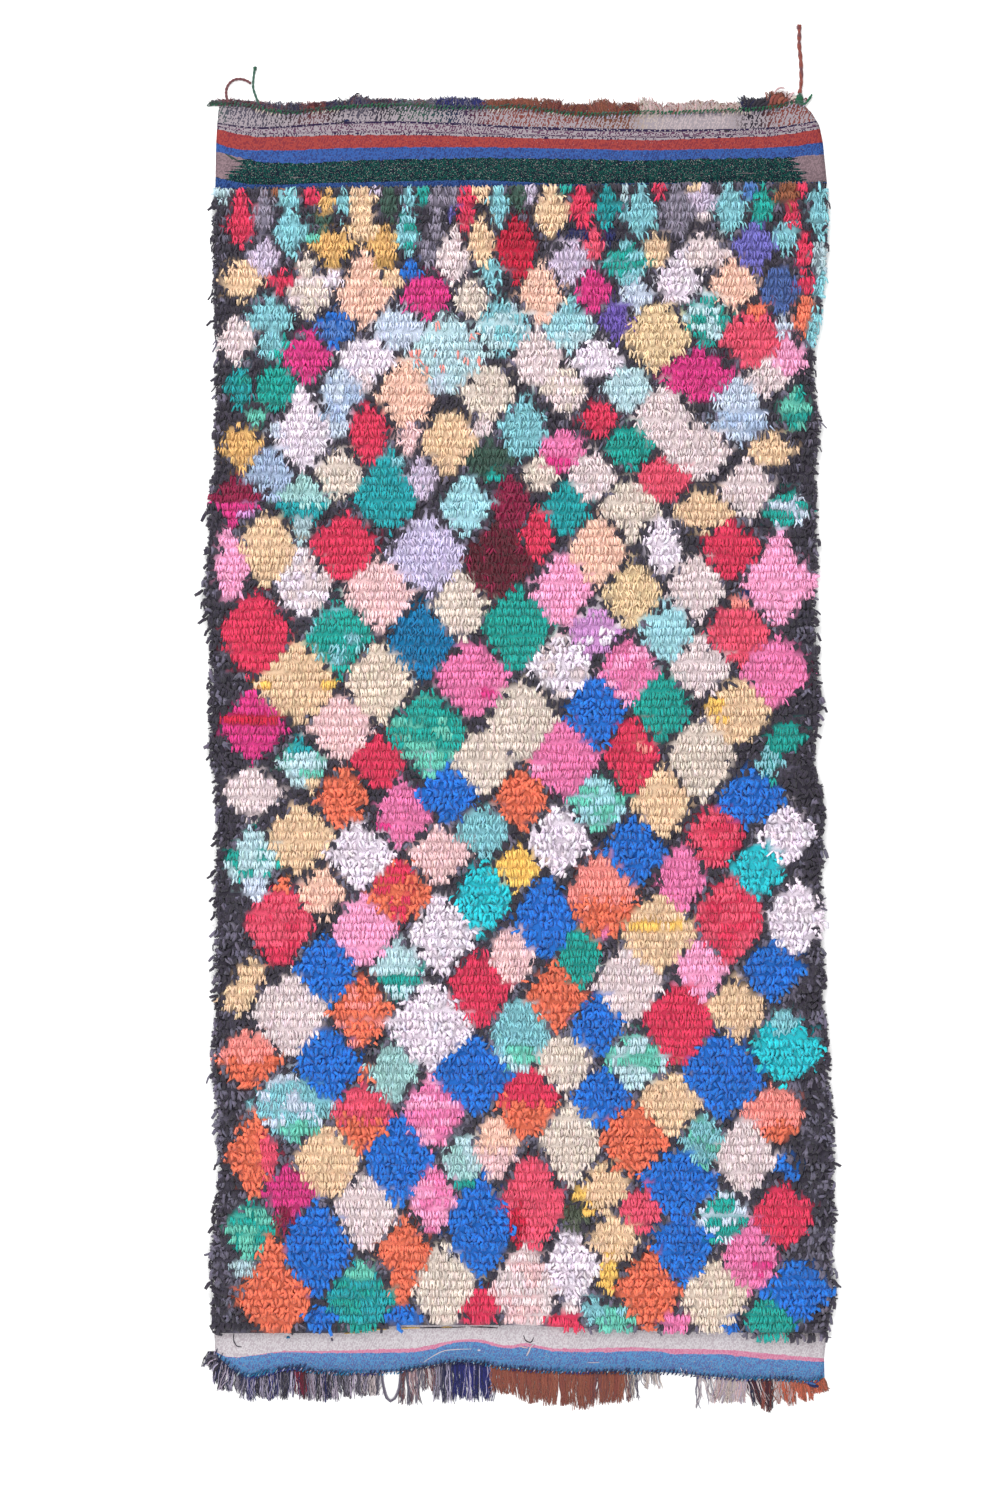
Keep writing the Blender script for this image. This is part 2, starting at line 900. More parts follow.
class Desk:
    """Lays out a node tree's nodes and joins them."""

    def __init__(self, tree: bpy.types.NodeTree) -> None:
        """Works on one node tree."""
        self.tree = tree

    def add(self, kind: str, **values: object) -> bpy.types.Node:
        """Adds a node.

        Args:
            kind: The node's Blender type.
            **values: Its own settings, or its inputs' values by name with _ for a space.

        Returns:
            The node.
        """
        node = self.tree.nodes.new(kind)
        for name, value in values.items():
            if hasattr(node, name):
                setattr(node, name, value)
            else:
                node.inputs[name.replace("_", " ")].default_value = value
        return node

    def math(self, operation: str, first: object, second: object = 0.0, clamp: bool = False) -> object:
        """Adds a Math node and gives its output.

        Args:
            operation: What it works out.
            first: A socket or a number.
            second: A socket or a number.
            clamp: Whether the result stays between 0 and 1.

        Returns:
            The output socket.
        """
        node = self.tree.nodes.new("ShaderNodeMath")
        node.operation = operation
        node.use_clamp = clamp
        for socket, value in zip(node.inputs, (first, second)):
            if isinstance(value, (int, float)):
                socket.default_value = value
            else:
                self.tree.links.new(value, socket)
        return node.outputs[0]

    def mix(self, share: object, first: object, second: object, blend: str = "MIX") -> object:
        """Adds a colour Mix node and gives its output.

        Args:
            share: A socket or a number from 0 to 1.
            first: A colour or a socket.
            second: A colour or a socket.
            blend: How the colours are blended.

        Returns:
            The output socket.
        """
        node = self.tree.nodes.new("ShaderNodeMix")
        node.data_type = "RGBA"
        node.blend_type = blend
        for socket, value in ((node.inputs[0], share), (node.inputs[6], first), (node.inputs[7], second)):
            if isinstance(value, bpy.types.NodeSocket):
                self.tree.links.new(value, socket)
            else:
                socket.default_value = value
        return node.outputs[2]

    def join(self, source: object, target: object) -> None:
        """Links an output socket to an input socket."""
        self.tree.links.new(source, target)


def fibre_group() -> bpy.types.NodeTree:
    """The group that breaks a yarn's colour into fibres: a mottled colour and a height for the bump."""
    name = "yarn_fibre"
    if name in bpy.data.node_groups:
        return bpy.data.node_groups[name]
    tree = bpy.data.node_groups.new(name, "ShaderNodeTree")
    tree.interface.new_socket("Place", in_out="INPUT", socket_type="NodeSocketVector")
    tree.interface.new_socket("Colour", in_out="INPUT", socket_type="NodeSocketColor")
    tree.interface.new_socket("Grain", in_out="INPUT", socket_type="NodeSocketFloat")
    tree.interface.new_socket("Depth", in_out="INPUT", socket_type="NodeSocketFloat")
    tree.interface.new_socket("Colour", in_out="OUTPUT", socket_type="NodeSocketColor")
    tree.interface.new_socket("Height", in_out="OUTPUT", socket_type="NodeSocketFloat")
    desk = Desk(tree)
    given = tree.nodes.new("NodeGroupInput").outputs
    result = tree.nodes.new("NodeGroupOutput").inputs
    noise = desk.add("ShaderNodeTexNoise", Detail=2.0, Roughness=0.6)
    desk.join(given["Place"], noise.inputs["Vector"])
    desk.join(given["Grain"], noise.inputs["Scale"])
    swing = desk.math("MULTIPLY", desk.math("SUBTRACT", noise.outputs["Fac"], 0.5), given["Depth"])
    tone = desk.math("ADD", swing, 1.0)
    grey = desk.add("ShaderNodeCombineColor")
    for socket in grey.inputs:
        desk.join(tone, socket)
    desk.join(desk.mix(1.0, given["Colour"], grey.outputs[0], "MULTIPLY"), result["Colour"])
    desk.join(noise.outputs["Fac"], result["Height"])
    return tree


@dataclass(frozen=True)
class YarnFinish:
    """Dyed yarn or cloth strip: its colour comes from the piece's own yarn attribute."""

    name: str
    grain: float = 420.0
    depth: float = 0.5
    bump: float = 0.0006
    roughness: float = 0.92
    sheen: float = 0.12
    stretch: tuple[float, float, float] = (1.0, 1.0, 1.0)

    def material(self) -> bpy.types.Material:
        """Makes the material."""
        material = bpy.data.materials.new(self.name)
        material.use_nodes = True
        desk = Desk(material.node_tree)
        shader = material.node_tree.nodes["Principled BSDF"]
        shader.inputs["Roughness"].default_value = self.roughness
        shader.inputs["Specular IOR Level"].default_value = 0.2
        shader.inputs["Sheen Weight"].default_value = self.sheen
        shader.inputs["Sheen Roughness"].default_value = 0.6
        place = desk.add("ShaderNodeTexCoord")
        yarn = desk.add("ShaderNodeAttribute", attribute_name="yarn")
        fibre = desk.add("ShaderNodeGroup", node_tree=fibre_group())
        fibre.inputs["Grain"].default_value = self.grain
        fibre.inputs["Depth"].default_value = self.depth
        streaks = desk.add("ShaderNodeMapping", Scale=self.stretch)
        desk.join(place.outputs["Object"], streaks.inputs["Vector"])
        desk.join(streaks.outputs["Vector"], fibre.inputs["Place"])
        desk.join(yarn.outputs["Color"], fibre.inputs["Colour"])
        bump = desk.add("ShaderNodeBump", Distance=self.bump, Strength=0.6)
        desk.join(fibre.outputs["Height"], bump.inputs["Height"])
        desk.join(fibre.outputs["Colour"], shader.inputs["Base Color"])
        desk.join(bump.outputs["Normal"], shader.inputs["Normal"])
        return material


class Band(NamedTuple):
    """One woven stripe: its colours, the shares of fleck and lint, and whether the warp shows."""

    colour: Colour
    fleck: Colour
    share: float
    lint: float = 0.0
    warp: bool = False


@dataclass(frozen=True)
class WeaveFinish:
    """The striped ground weave. Stripes follow the piece's UV map, a whole number each."""

    bands: tuple[Band, ...]
    stain: Colour
    lint: Colour = (0.80, 0.78, 0.76)
    rib_long: float = 0.0027
    rib_high: float = 0.0029
    slant_long: float = 0.0100

    def stitches(self, desk: Desk, place: bpy.types.NodeSocket) -> tuple[object, object, object]:
        """Divides the cloth into stitches, each row set half a stitch on from the last.

        Args:
            desk: The material's desk.
            place: The place on the cloth.

        Returns:
            A lot from 0 to 1 for each stitch, whether its turn is odd, and how deep in a groove a place is.
        """
        parts = desk.add("ShaderNodeSeparateXYZ")
        desk.join(place, parts.inputs[0])
        down = desk.math("DIVIDE", parts.outputs["Y"], self.rib_high)
        row = desk.math("FLOOR", down)
        across = desk.math("ADD", desk.math("DIVIDE", parts.outputs["X"], self.rib_long),
                           desk.math("MULTIPLY", row, 0.5))
        column = desk.math("FLOOR", across)
        cell = desk.add("ShaderNodeCombineXYZ")
        desk.join(column, cell.inputs[0])
        desk.join(row, cell.inputs[1])
        lot = desk.add("ShaderNodeTexWhiteNoise", noise_dimensions="2D")
        desk.join(cell.outputs[0], lot.inputs["Vector"])
        turn = desk.math("PINGPONG", desk.math("ADD", column, row), 1.0)
        aside = desk.math("ABSOLUTE", desk.math("SUBTRACT", desk.math("FRACT", across), 0.5))
        ahead = desk.math("ABSOLUTE", desk.math("SUBTRACT", desk.math("FRACT", down), 0.5))
        far = desk.math("SUBTRACT", desk.math("MAXIMUM", aside, ahead), 0.32)
        rim = desk.math("MULTIPLY", far, 5.5, clamp=True)
        return lot.outputs["Value"], turn, rim

    def slants(self, desk: Desk, place: bpy.types.NodeSocket, stir: bpy.types.NodeSocket) -> object:
        """Draws the slanting ribs of the twill.

        Args:
            desk: The material's desk.
            place: The place on the cloth.
            stir: A noise that unsettles them.

        Returns:
            A wave about 0 that rises on each rib.
        """
        parts = desk.add("ShaderNodeSeparateXYZ")
        desk.join(place, parts.inputs[0])
        turns = desk.math("ADD", desk.math("MULTIPLY", parts.outputs["X"], 2 * math.pi / self.slant_long),
                          desk.math("MULTIPLY", parts.outputs["Y"], -2 * math.pi / (4 * self.slant_long)))
        wave = desk.math("SINE", desk.math("ADD", turns, desk.math("MULTIPLY", stir, 9.0)))
        return desk.math("MULTIPLY", wave, 0.17)

    def ramp(self, desk: Desk, light: Array) -> bpy.types.Node:
        """Adds a ramp with one flat step a stripe."""
        node = desk.add("ShaderNodeValToRGB")
        node.color_ramp.interpolation = "CONSTANT"
        steps = node.color_ramp.elements
        while len(steps) < len(light):
            steps.new(1.0)
        for number, colour in enumerate(light):
            steps[number].position = number / len(light)
            steps[number].color = (*colour, 1.0)
        return node

    def material(self) -> bpy.types.Material:
        """Makes the material."""
        material = bpy.data.materials.new("striped_weave")
        material.use_nodes = True
        desk = Desk(material.node_tree)
        shader = material.node_tree.nodes["Principled BSDF"]
        shader.inputs["Roughness"].default_value = 0.95
        shader.inputs["Specular IOR Level"].default_value = 0.15
        place = desk.add("ShaderNodeTexCoord")
        stripe = desk.add("ShaderNodeUVMap", uv_map="stripes")
        parts = desk.add("ShaderNodeSeparateXYZ")
        desk.join(stripe.outputs["UV"], parts.inputs[0])
        drawn = desk.add("ShaderNodeMapping", Scale=(14.0, 330.0, 1.0))
        desk.join(place.outputs["Object"], drawn.inputs["Vector"])
        fingers = desk.add("ShaderNodeTexNoise", Scale=1.0, Detail=2.0)
        desk.join(drawn.outputs["Vector"], fingers.inputs["Vector"])
        reach = desk.math("MULTIPLY", desk.math("SUBTRACT", fingers.outputs["Fac"], 0.5), 2.4)
        ragged = desk.add("ShaderNodeTexNoise", Scale=95.0, Detail=3.0)
        desk.join(place.outputs["Object"], ragged.inputs["Vector"])
        shift = desk.math("MULTIPLY", desk.math("SUBTRACT", ragged.outputs["Fac"], 0.5), 0.22)
        level = desk.math("DIVIDE", desk.math("ADD", parts.outputs["Y"], shift), float(len(self.bands)))
        base = self.ramp(desk, as_light([band.colour for band in self.bands]) * OPEN_SHADE)
        fleck = self.ramp(desk, as_light([band.fleck for band in self.bands]) * OPEN_SHADE)
        share = self.ramp(desk, np.array([[band.share, float(band.warp), band.lint] for band in self.bands]))
        for node in (base, fleck, share):
            desk.join(level, node.inputs["Fac"])
        shares = desk.add("ShaderNodeSeparateColor")
        desk.join(share.outputs["Color"], shares.inputs[0])
        warp = desk.add("ShaderNodeAttribute", attribute_name="warp")
        thread = desk.mix(shares.outputs[1], fleck.outputs["Color"], warp.outputs["Color"])
        lot, turn, groove = self.stitches(desk, place.outputs["Object"])
        patchy = desk.add("ShaderNodeTexNoise", Scale=60.0, Detail=3.0)
        desk.join(place.outputs["Object"], patchy.inputs["Vector"])
        chance = desk.math("ADD", desk.math("MULTIPLY", lot, 0.60), desk.math("MULTIPLY", turn, 0.22))
        chance = desk.math("ADD", chance, desk.math("MULTIPLY", patchy.outputs["Fac"], 0.18))
        slant = self.slants(desk, place.outputs["Object"], patchy.outputs["Fac"])
        chance = desk.math("ADD", chance, desk.math("MULTIPLY", slant, shares.outputs[1]))
        is_fleck = desk.math("LESS_THAN", chance, shares.outputs[0])
        plain = desk.mix(is_fleck, base.outputs["Color"], thread)
        dust = desk.add("ShaderNodeTexNoise", Scale=560.0, Detail=1.0)
        desk.join(place.outputs["Object"], dust.inputs["Vector"])
        limit = desk.math("SUBTRACT", 0.76, desk.math("MULTIPLY", shares.outputs[2], 0.36))
        is_lint = desk.math("GREATER_THAN", dust.outputs["Fac"], limit)
        woven = desk.mix(is_lint, plain, (*as_light(self.lint) * OPEN_SHADE, 1.0))
        worn = desk.add("ShaderNodeAttribute", attribute_name="stain")
        in_stain = desk.math("GREATER_THAN", desk.math("ADD", worn.outputs["Fac"], reach), 0.5)
        row = desk.math("ADD", parts.outputs["Y"], shift)
        in_stripe = desk.math("MULTIPLY", desk.math("GREATER_THAN", row, GREEN),
                              desk.math("LESS_THAN", row, GREEN + 1))
        worn_here = desk.math("MULTIPLY", in_stain, in_stripe)
        faded = (*as_light(self.stain) * OPEN_SHADE, 1.0)
        knit = desk.mix(desk.math("MULTIPLY", is_fleck, 0.3), faded, thread)
        patched = desk.mix(worn_here, woven, knit)
        fibre = desk.add("ShaderNodeGroup", node_tree=fibre_group())
        fibre.inputs["Grain"].default_value = 520.0
        fibre.inputs["Depth"].default_value = 0.5
        desk.join(place.outputs["Object"], fibre.inputs["Place"])
        desk.join(patched, fibre.inputs["Colour"])
        gap = desk.mix(desk.math("MULTIPLY", groove, 0.30), fibre.outputs["Colour"], (0.02, 0.02, 0.03, 1.0))
        desk.join(gap, shader.inputs["Base Color"])
        height = desk.math("SUBTRACT", desk.math("MULTIPLY", fibre.outputs["Height"], 0.6), groove)
        bump = desk.add("ShaderNodeBump", Distance=0.0006, Strength=0.8)
        desk.join(height, bump.inputs["Height"])
        desk.join(bump.outputs["Normal"], shader.inputs["Normal"])
        return material


def facing(centres: Array, roll: Array) -> tuple[Array, Array]:
    """Works out which way is across and which is up along many middle lines.

    Args:
        centres: The lines, as copies by rings by 3.
        roll: How far each copy is rolled about its line, in radians.

    Returns:
        The directions across and up, one a ring.
    """
    along = np.gradient(centres, axis=1)
    along /= np.linalg.norm(along, axis=2, keepdims=True) + 1e-12
    across = np.cross(along, np.array([0.0, 0.0, 1.0]))
    short = np.linalg.norm(across, axis=2, keepdims=True)
    across = np.where(short < 0.05, np.array([1.0, 0.0, 0.0]), across / np.maximum(short, 0.05))
    up = np.cross(across, along)
    cosine, sine = np.cos(roll)[:, None, None], np.sin(roll)[:, None, None]
    return across * cosine + up * sine, up * cosine - across * sine


def laid(stencil: Stencil, centres: Array, wide: Array, thick: Array, roll: Array) -> Array:
    """Lays copies of a stave along middle lines.

    Args:
        stencil: The stave, with one ring of points a place on the line.
        centres: The lines, as copies by rings by 3.
        wide: Half the width at each ring, as copies by rings.
        thick: Half the thickness at each ring.
        roll: How far each copy is rolled about its line.

    Returns:
        The copies' points.
    """
    across, up = facing(centres, roll)
    ring = np.rint(stencil.points[:, 2] * (centres.shape[1] - 1)).astype(int)
    side = stencil.points[None, :, 0:1] * wide[:, ring, None] * across[:, ring]
    top = stencil.points[None, :, 1:2] * thick[:, ring, None] * up[:, ring]
    return centres[:, ring] + side + top


def strands(root: Array, tip: Array, bend: Array, high: Array, rings: int,
            crimp: Array | None = None) -> Array:
    """Draws bent middle lines from roots to tips.

    Args:
        root: Where they start on the floor, as copies by 2.
        tip: Where they end, as copies by 2.
        bend: How far the middle swings aside, one a copy.
        high: The height of the root and of the tip, as copies by 2.
        rings: How many places a line has.
        crimp: How far each line wavers, and where its waves start, as copies by 2.

    Returns:
        The lines, as copies by rings by 3.
    """
    share = np.linspace(0, 1, rings)[None, :]
    way = tip - root
    aside = np.stack([-way[:, 1], way[:, 0]], axis=1)
    aside /= np.linalg.norm(aside, axis=1, keepdims=True) + 1e-9
    swing = bend[:, None] * np.sin(share * math.pi * 1.2)
    if crimp is not None:
        swing = swing + crimp[:, :1] * np.sin(share * 9.5 + crimp[:, 1:]) * np.minimum(1.0, share * 3)
    flat = root[:, None] + way[:, None] * share[..., None] + aside[:, None] * swing[..., None]
    height = high[:, :1] + (high[:, 1:] - high[:, :1]) * share**0.6
    return np.concatenate([flat, height[..., None]], axis=2)


@dataclass
class Studio:
    """The pale floor, the soft lights, and the camera straight above."""

    lens: float = 85.0
    film: float = 36.0
    camera_at: tuple[float, float, float] = (-0.0456, -0.0254, 7.52)
    floor_half: float = 9.0
    floor_grey: float = 0.93
    lamp_power: float = 128.0
    lamp_at: tuple[float, float, float] = (0.9, 3.9, 3.2)
    lamp_size: float = 3.2
    lamp_shares: tuple[float, float, float] = (1.5, 0.9, 0.6)
    sky: float = 0.80

    def floor(self) -> None:
        """Lays the floor and marks it as stage."""
        bm = bmesh.new()
        bmesh.ops.create_grid(bm, x_segments=1, y_segments=1, size=self.floor_half)
        floor = shaped("floor", bm)
        material = bpy.data.materials.new("floor_paper")
        material.use_nodes = True
        shader = material.node_tree.nodes["Principled BSDF"]
        shader.inputs["Base Color"].default_value = (self.floor_grey,) * 3 + (1.0,)
        shader.inputs["Roughness"].default_value = 0.9
        shader.inputs["Specular IOR Level"].default_value = 0.1
        floor.data.materials.append(material)

    def lights(self) -> None:
        """Hangs a wide soft light beyond each end, and a weaker one beside the rug."""
        x, y, z = self.lamp_at
        places = ((-x, y, z), (x, -y, z), (-y, 0.0, z))
        for number, (place, share) in enumerate(zip(places, self.lamp_shares)):
            lamp = bpy.data.lights.new(f"softbox_{number}", "AREA")
            lamp.shape = "RECTANGLE"
            lamp.size = self.lamp_size
            lamp.size_y = self.lamp_size
            lamp.energy = self.lamp_power * share
            obj = bpy.data.objects.new(f"softbox_{number}", lamp)
            obj.location = place
            obj.rotation_euler = (-obj.location).to_track_quat("-Z", "Y").to_euler()
            bpy.context.scene.collection.objects.link(obj)
        world = bpy.data.worlds.new("studio")
        world.use_nodes = True
        world.node_tree.nodes["Background"].inputs["Color"].default_value = (1, 1, 1, 1)
        world.node_tree.nodes["Background"].inputs["Strength"].default_value = self.sky
        bpy.context.scene.world = world

    def camera(self) -> None:
        """Looks straight down at the rug, as the picture does."""
        data = bpy.data.cameras.new("above")
        data.lens = self.lens
        data.sensor_fit = "VERTICAL"
        data.sensor_height = self.film
        camera = bpy.data.objects.new("above", data)
        camera.location = self.camera_at
        bpy.context.scene.collection.objects.link(camera)
        bpy.context.scene.camera = camera
        bpy.context.scene.view_settings.view_transform = "Standard"

    def build(self) -> None:
        """Sets up all of it."""
        self.floor()
        self.lights()
        self.camera()


@dataclass
class PliedCord:
    """A cord of two plies twisted round each other, lying on the floor."""

    name: str
    node: str
    slot: str
    route: tuple[tuple[float, float], ...]
    thick: float
    yarns: tuple[str, ...]
    far_end: str
    twist_long: float
    ring_step: float = 0.0016
    colour_run: int = 5
    sides: int = 8
    waist: tuple[float, float] = (0.0, 0.0)

    def ply(self, route: Array, turn: float) -> Array:
        """The middle line of one ply."""
        gone = np.concatenate([[0], np.cumsum(np.linalg.norm(np.diff(route, axis=0), axis=1))])
        along = np.gradient(route, axis=0)
        along /= np.linalg.norm(along, axis=1, keepdims=True)
        across = np.cross(along, np.array([0.0, 0.0, 1.0]))
        angle = turn + gone / self.twist_long * 2 * math.pi
        offset = self.thick * 0.21
        return route + offset * (across * np.cos(angle)[:, None]
                                 + np.array([0.0, 0.0, 1.0]) * np.sin(angle)[:, None])

    def build(self, dice: np.random.Generator, finish: bpy.types.Material) -> bpy.types.Object:
        """Args:
            dice: The source of chance.
            finish: The cord's material.

        Returns:
            The cord.
        """
        route = smooth_route(self.route, self.thick / 2, self.ring_step)
        rings = len(route)
        stencil = Stencil.stave(self.sides, rings - 1)
        plies = np.stack([self.ply(route, 0.0), self.ply(route, math.pi)])
        radius = np.full((2, rings), self.thick * 0.32)
        if self.waist[1]:
            share = np.linspace(0, 1, rings)
            radius *= 1 - 0.22 * np.exp(-(((share - self.waist[0]) / self.waist[1]) ** 2))
        radius *= 1 + 0.05 * np.sin(np.linspace(0, 40, rings))[None]
        points = laid(stencil, plies, radius, radius, np.zeros(2))
        light = yarn_light(*self.yarns)
        ring = np.rint(stencil.points[:, 2] * (rings - 1)).astype(int)
        lots = dice.integers(0, len(light), size=(2, rings // self.colour_run + 1))
        tone = np.clip(dice.normal(1, 0.10, size=(2, rings)), 0.7, 1.3)
        dyes = light[np.repeat(lots, self.colour_run, axis=1)[:, ring]] * tone[:, ring, None]
        cord = joined(self.name, stencil, points, dyes)
        cord.data.materials.append(finish)
        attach(cord, "root")
        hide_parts(self.node)
        return cord


@dataclass
class FrayedTips:
    """Loose fibres at the free ends of the two cords that end bare."""

    tie_end: tuple[float, float] = (0.5884, 1.5080)
    strand_end: tuple[float, float] = (-0.5672, 1.4205)
    count: int = 34
    long: float = 0.011
    root_high: tuple[float, float] = (0.0016, 0.0066)
    tip_high: tuple[float, float] = (0.0008, 0.0045)

    def build(self, dice: np.random.Generator, finish: bpy.types.Material) -> bpy.types.Object:
        """Lays both bunches of fibres as one piece.

        Args:
            dice: The source of chance.
            finish: The fibres' material.

        Returns:
            The piece.
        """
        ends = np.repeat(np.array([self.tie_end, self.strand_end]), self.count, axis=0)
        spread = np.repeat([TIE_THICK, STRAND_THICK], self.count) * 0.42
        root = ends + np.stack([dice.uniform(-1, 1, len(ends)) * spread,
                                dice.uniform(-0.004, 0, len(ends))], axis=1)
        aim = dice.normal(0, 0.42, len(ends))
        long = self.long * dice.uniform(0.25, 0.72, len(ends))
        tip = root + np.stack([np.sin(aim) * long, np.cos(aim) * long], axis=1)
        high = np.stack([dice.uniform(*self.root_high, len(ends)),
                         dice.uniform(*self.tip_high, len(ends))], axis=1)
        lines = strands(root, tip, dice.normal(0, 0.0008, len(ends)), high, 4)
        radius = np.linspace(0.0008, 0.0003, 4)[None].repeat(len(ends), axis=0)
        stencil = Stencil.stave(4, 3)
        points = laid(stencil, lines, radius, radius, np.zeros(len(ends)))
        light = np.concatenate([yarn_light("brick", "mauve")[dice.integers(0, 2, self.count)],
                                yarn_light("moss", "leaf")[dice.integers(0, 2, self.count)]])
        fray = joined("cord_fray", stencil, points, light)
        fray.data.materials.append(finish)
        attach(fray, "root")
        return fray


@dataclass
class TieKnot:
    """The green knot that holds the twisted tie to the edge."""

    radii: tuple[float, float, float] = (0.0090, 0.0108, 0.0044)
    wraps: int = 5
    wrap_radius: float = 0.0017

    def build(self, dice: np.random.Generator, finish: bpy.types.Material) -> bpy.types.Object:
        """Shapes the knot's lump and the turns of yarn over it.

        Args:
            dice: The source of chance.
            finish: The knot's material.

        Returns:
            The knot.
        """
        rings = 11
        stave = Stencil.stave(6, rings - 1)
        angle = np.linspace(0.12, math.pi - 0.12, rings)
        lines = []
        for turn in range(self.wraps):
            lean = math.radians(-38 + 24 * turn)
            place = (turn - (self.wraps - 1) / 2) * 0.0046
            across = np.cos(angle) * self.radii[0] * (1 - 0.18 * abs(turn - 1.5))
            rise = KNOT_MIDDLE[2] * 0.45 + np.sin(angle) * self.radii[2] * 1.05
            x = KNOT_MIDDLE[0] + across * math.cos(lean)
            y = KNOT_MIDDLE[1] + place + across * math.sin(lean)
            lines.append(np.stack([x, y, rise], axis=1))
        lines = np.array(lines)
        radius = np.full(lines.shape[:2], self.wrap_radius) * (1 + 0.25 * np.sin(angle)[None])
        wraps = laid(stave, lines, radius, radius, np.zeros(self.wraps))
        light = yarn_light("leaf", "moss", "leaf")[dice.integers(0, 3, self.wraps)]
        knot = joined("tie_knot_yarn", stave, wraps, light)
        bead = Stencil.bead(16, 10)
        lump = KNOT_MIDDLE + bead.points * (np.array(self.radii) * (0.92, 0.95, 0.86))
        core = joined("knot_core", bead, lump[None], yarn_light("leaf") * 0.8)
        bm = bmesh.new()
        bm.from_mesh(knot.data)
        bm.from_mesh(core.data)
        bm.to_mesh(knot.data)
        bm.free()
        bpy.data.objects.remove(core)
        knot.data.materials.append(finish)
        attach(knot, "root")
        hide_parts("tie_knot")
        return knot


class Bunch(NamedTuple):
    """A stretch of fringe: where it starts and ends, how far it reaches, its lean and its yarns."""

    start: float
    end: float
    reach: float
    each: float
    lean: float
    yarns: tuple[str, ...]


def read_bunches(text: str) -> list[Bunch]:
    """Reads a table of bunches, all in the picture's pixels."""
    bunches = []
    for line in text.strip().splitlines():
        start, end, reach, each, lean, names = line.split()
        bunches.append(Bunch(float(start), float(end), float(reach), float(each), float(lean),
                             tuple(names.split("+"))))
    return bunches


# Foot fringe: start, end, reach, pixels from strand to strand, lean, yarns
FOOT_BUNCHES = """
208 216 1368 0.9 -6 charcoal+navy+lavender
216 222 1383 0.9 -4 charcoal+navy+slate+lavender
222 229 1392 0.8 -3 charcoal+navy+slate+lilac
229 243 1394 0.8 -1 navy+slate+lavender+charcoal+grey
243 247 1401 0.8 0 slate+lavender+navy
247 255 1404 0.8 0 slate+navy+lavender+indigo
255 276 1400 0.8 1 navy+lavender+charcoal+indigo+grey
276 295 1399 0.8 -1 charcoal+navy+lavender+slate
293 300 1394 0.7 3 crimson+maroon+wine
299 322 1400 0.8 1 maroon+charcoal+grey+navy+lilac
320 336 1401 0.8 0 navy+indigo+lilac+charcoal
335 360 1398 1.0 1 grey+slate+lilac+charcoal
360 381 1397 1.0 -1 slate+grey+lilac+shell+charcoal
401 418 1404 0.8 0 mauve+grey+blush+slate
418 436 1392 1.3 1 grey+slate+mauve+shell
436 452 1403 0.8 1 navy+grey+slate+lavender
452 491 1401 0.6 1 indigo+navy+indigo+lavender+indigo+navy
490 516 1394 0.7 0 rust+brick
516 545 1402 0.7 1 rust+brick
545 574 1404 0.7 1 rust+brick+rust
574 590 1410 0.7 0 rust+brick
590 606 1406 0.7 -1 rust+brick+mauve
606 626 1403 0.7 -1 rust+brick
625 636 1402 0.9 1 slate+grey+cream+mauve
638 660 1390 2.6 0 cream+grey+shell
697 701 1409 1.6 0 shell+grey
701 712 1406 3.6 7 shell+grey
718 747 1404 0.7 -3 blush+shell+cream+lilac
746 764 1406 0.8 6 charcoal+shell+maroon+navy
760 772 1411 0.7 1 maroon+charcoal+brick
775 792 1405 0.8 3 orange+shell+rust+shell
790 809 1402 0.7 3 orange+rust+coral
807 825 1394 0.7 4 coral+orange+rust
"""
# Head fray, in the same way, reaching up
HEAD_BUNCHES = """
210 218 99 1.1 0 moss+slate+maroon
216 246 98.6 0.9 -1 slate+mauve+maroon
246 262 100 0.9 1 slate+mauve+charcoal
262 306 101.5 0.8 -1 charcoal+navy+slate+mauve
304 326 100 0.8 1 mauve+maroon+brick
326 346 99 0.8 0 charcoal+slate+navy
346 366 94.5 0.7 1 slate+navy+charcoal+mauve
366 402 97.5 0.8 -1 charcoal+mauve+navy+slate
400 436 98.5 0.8 2 moss+grey+slate+mauve
436 484 96 0.8 -2 navy+indigo+grey+navy
484 514 98 0.7 1 brick+brown
514 540 96.6 0.7 -1 brick+brown+rust
540 558 98.5 0.7 0 brick+brown+maroon
558 594 102.5 0.7 0 brick+brown+maroon
594 614 98 0.7 -1 brown+brick+rust
614 643 101.5 0.7 -1 brown+brick+maroon
641 652 95.5 0.8 0 cream+blush
652 692 101.8 0.7 1 shell+blush+cream+brick
690 712 99 0.7 -1 shell+blush+cream+brown
712 742 101.2 0.7 -1 shell+cream+blush+brown
742 752 96 0.6 0 charcoal+navy
752 768 97 0.6 1 charcoal+slate
768 788 91 0.6 0 brick+rust+brown
786 800 95 0.9 0 brick+shell+blush
"""


@dataclass(frozen=True)
class Threads:
    """The warp's colours from side to side, as the bunches past the edge have them."""

    middles: Array
    light: Array

    @classmethod
    def read(cls, text: str) -> "Threads":
        """Takes each bunch's first yarn."""
        bunches = read_bunches(text)
        middles = np.array([(bunch.start + bunch.end) / 2 for bunch in bunches])
        return cls(middles, yarn_light(*(bunch.yarns[0] for bunch in bunches)))

    def colour_at(self, x: float) -> tuple[float, ...]:
        """The warp's colour at a place in the picture."""
        return (*(float(np.interp(x, self.middles, self.light[:, k])) for k in range(3)), 1.0)


TWILL = (0.76, 0.71, 0.74)
PALE = (1.0, 0.97, 0.99)
NAVY = (0.20, 0.14, 0.30)
DARK = (0.20, 0.18, 0.22)
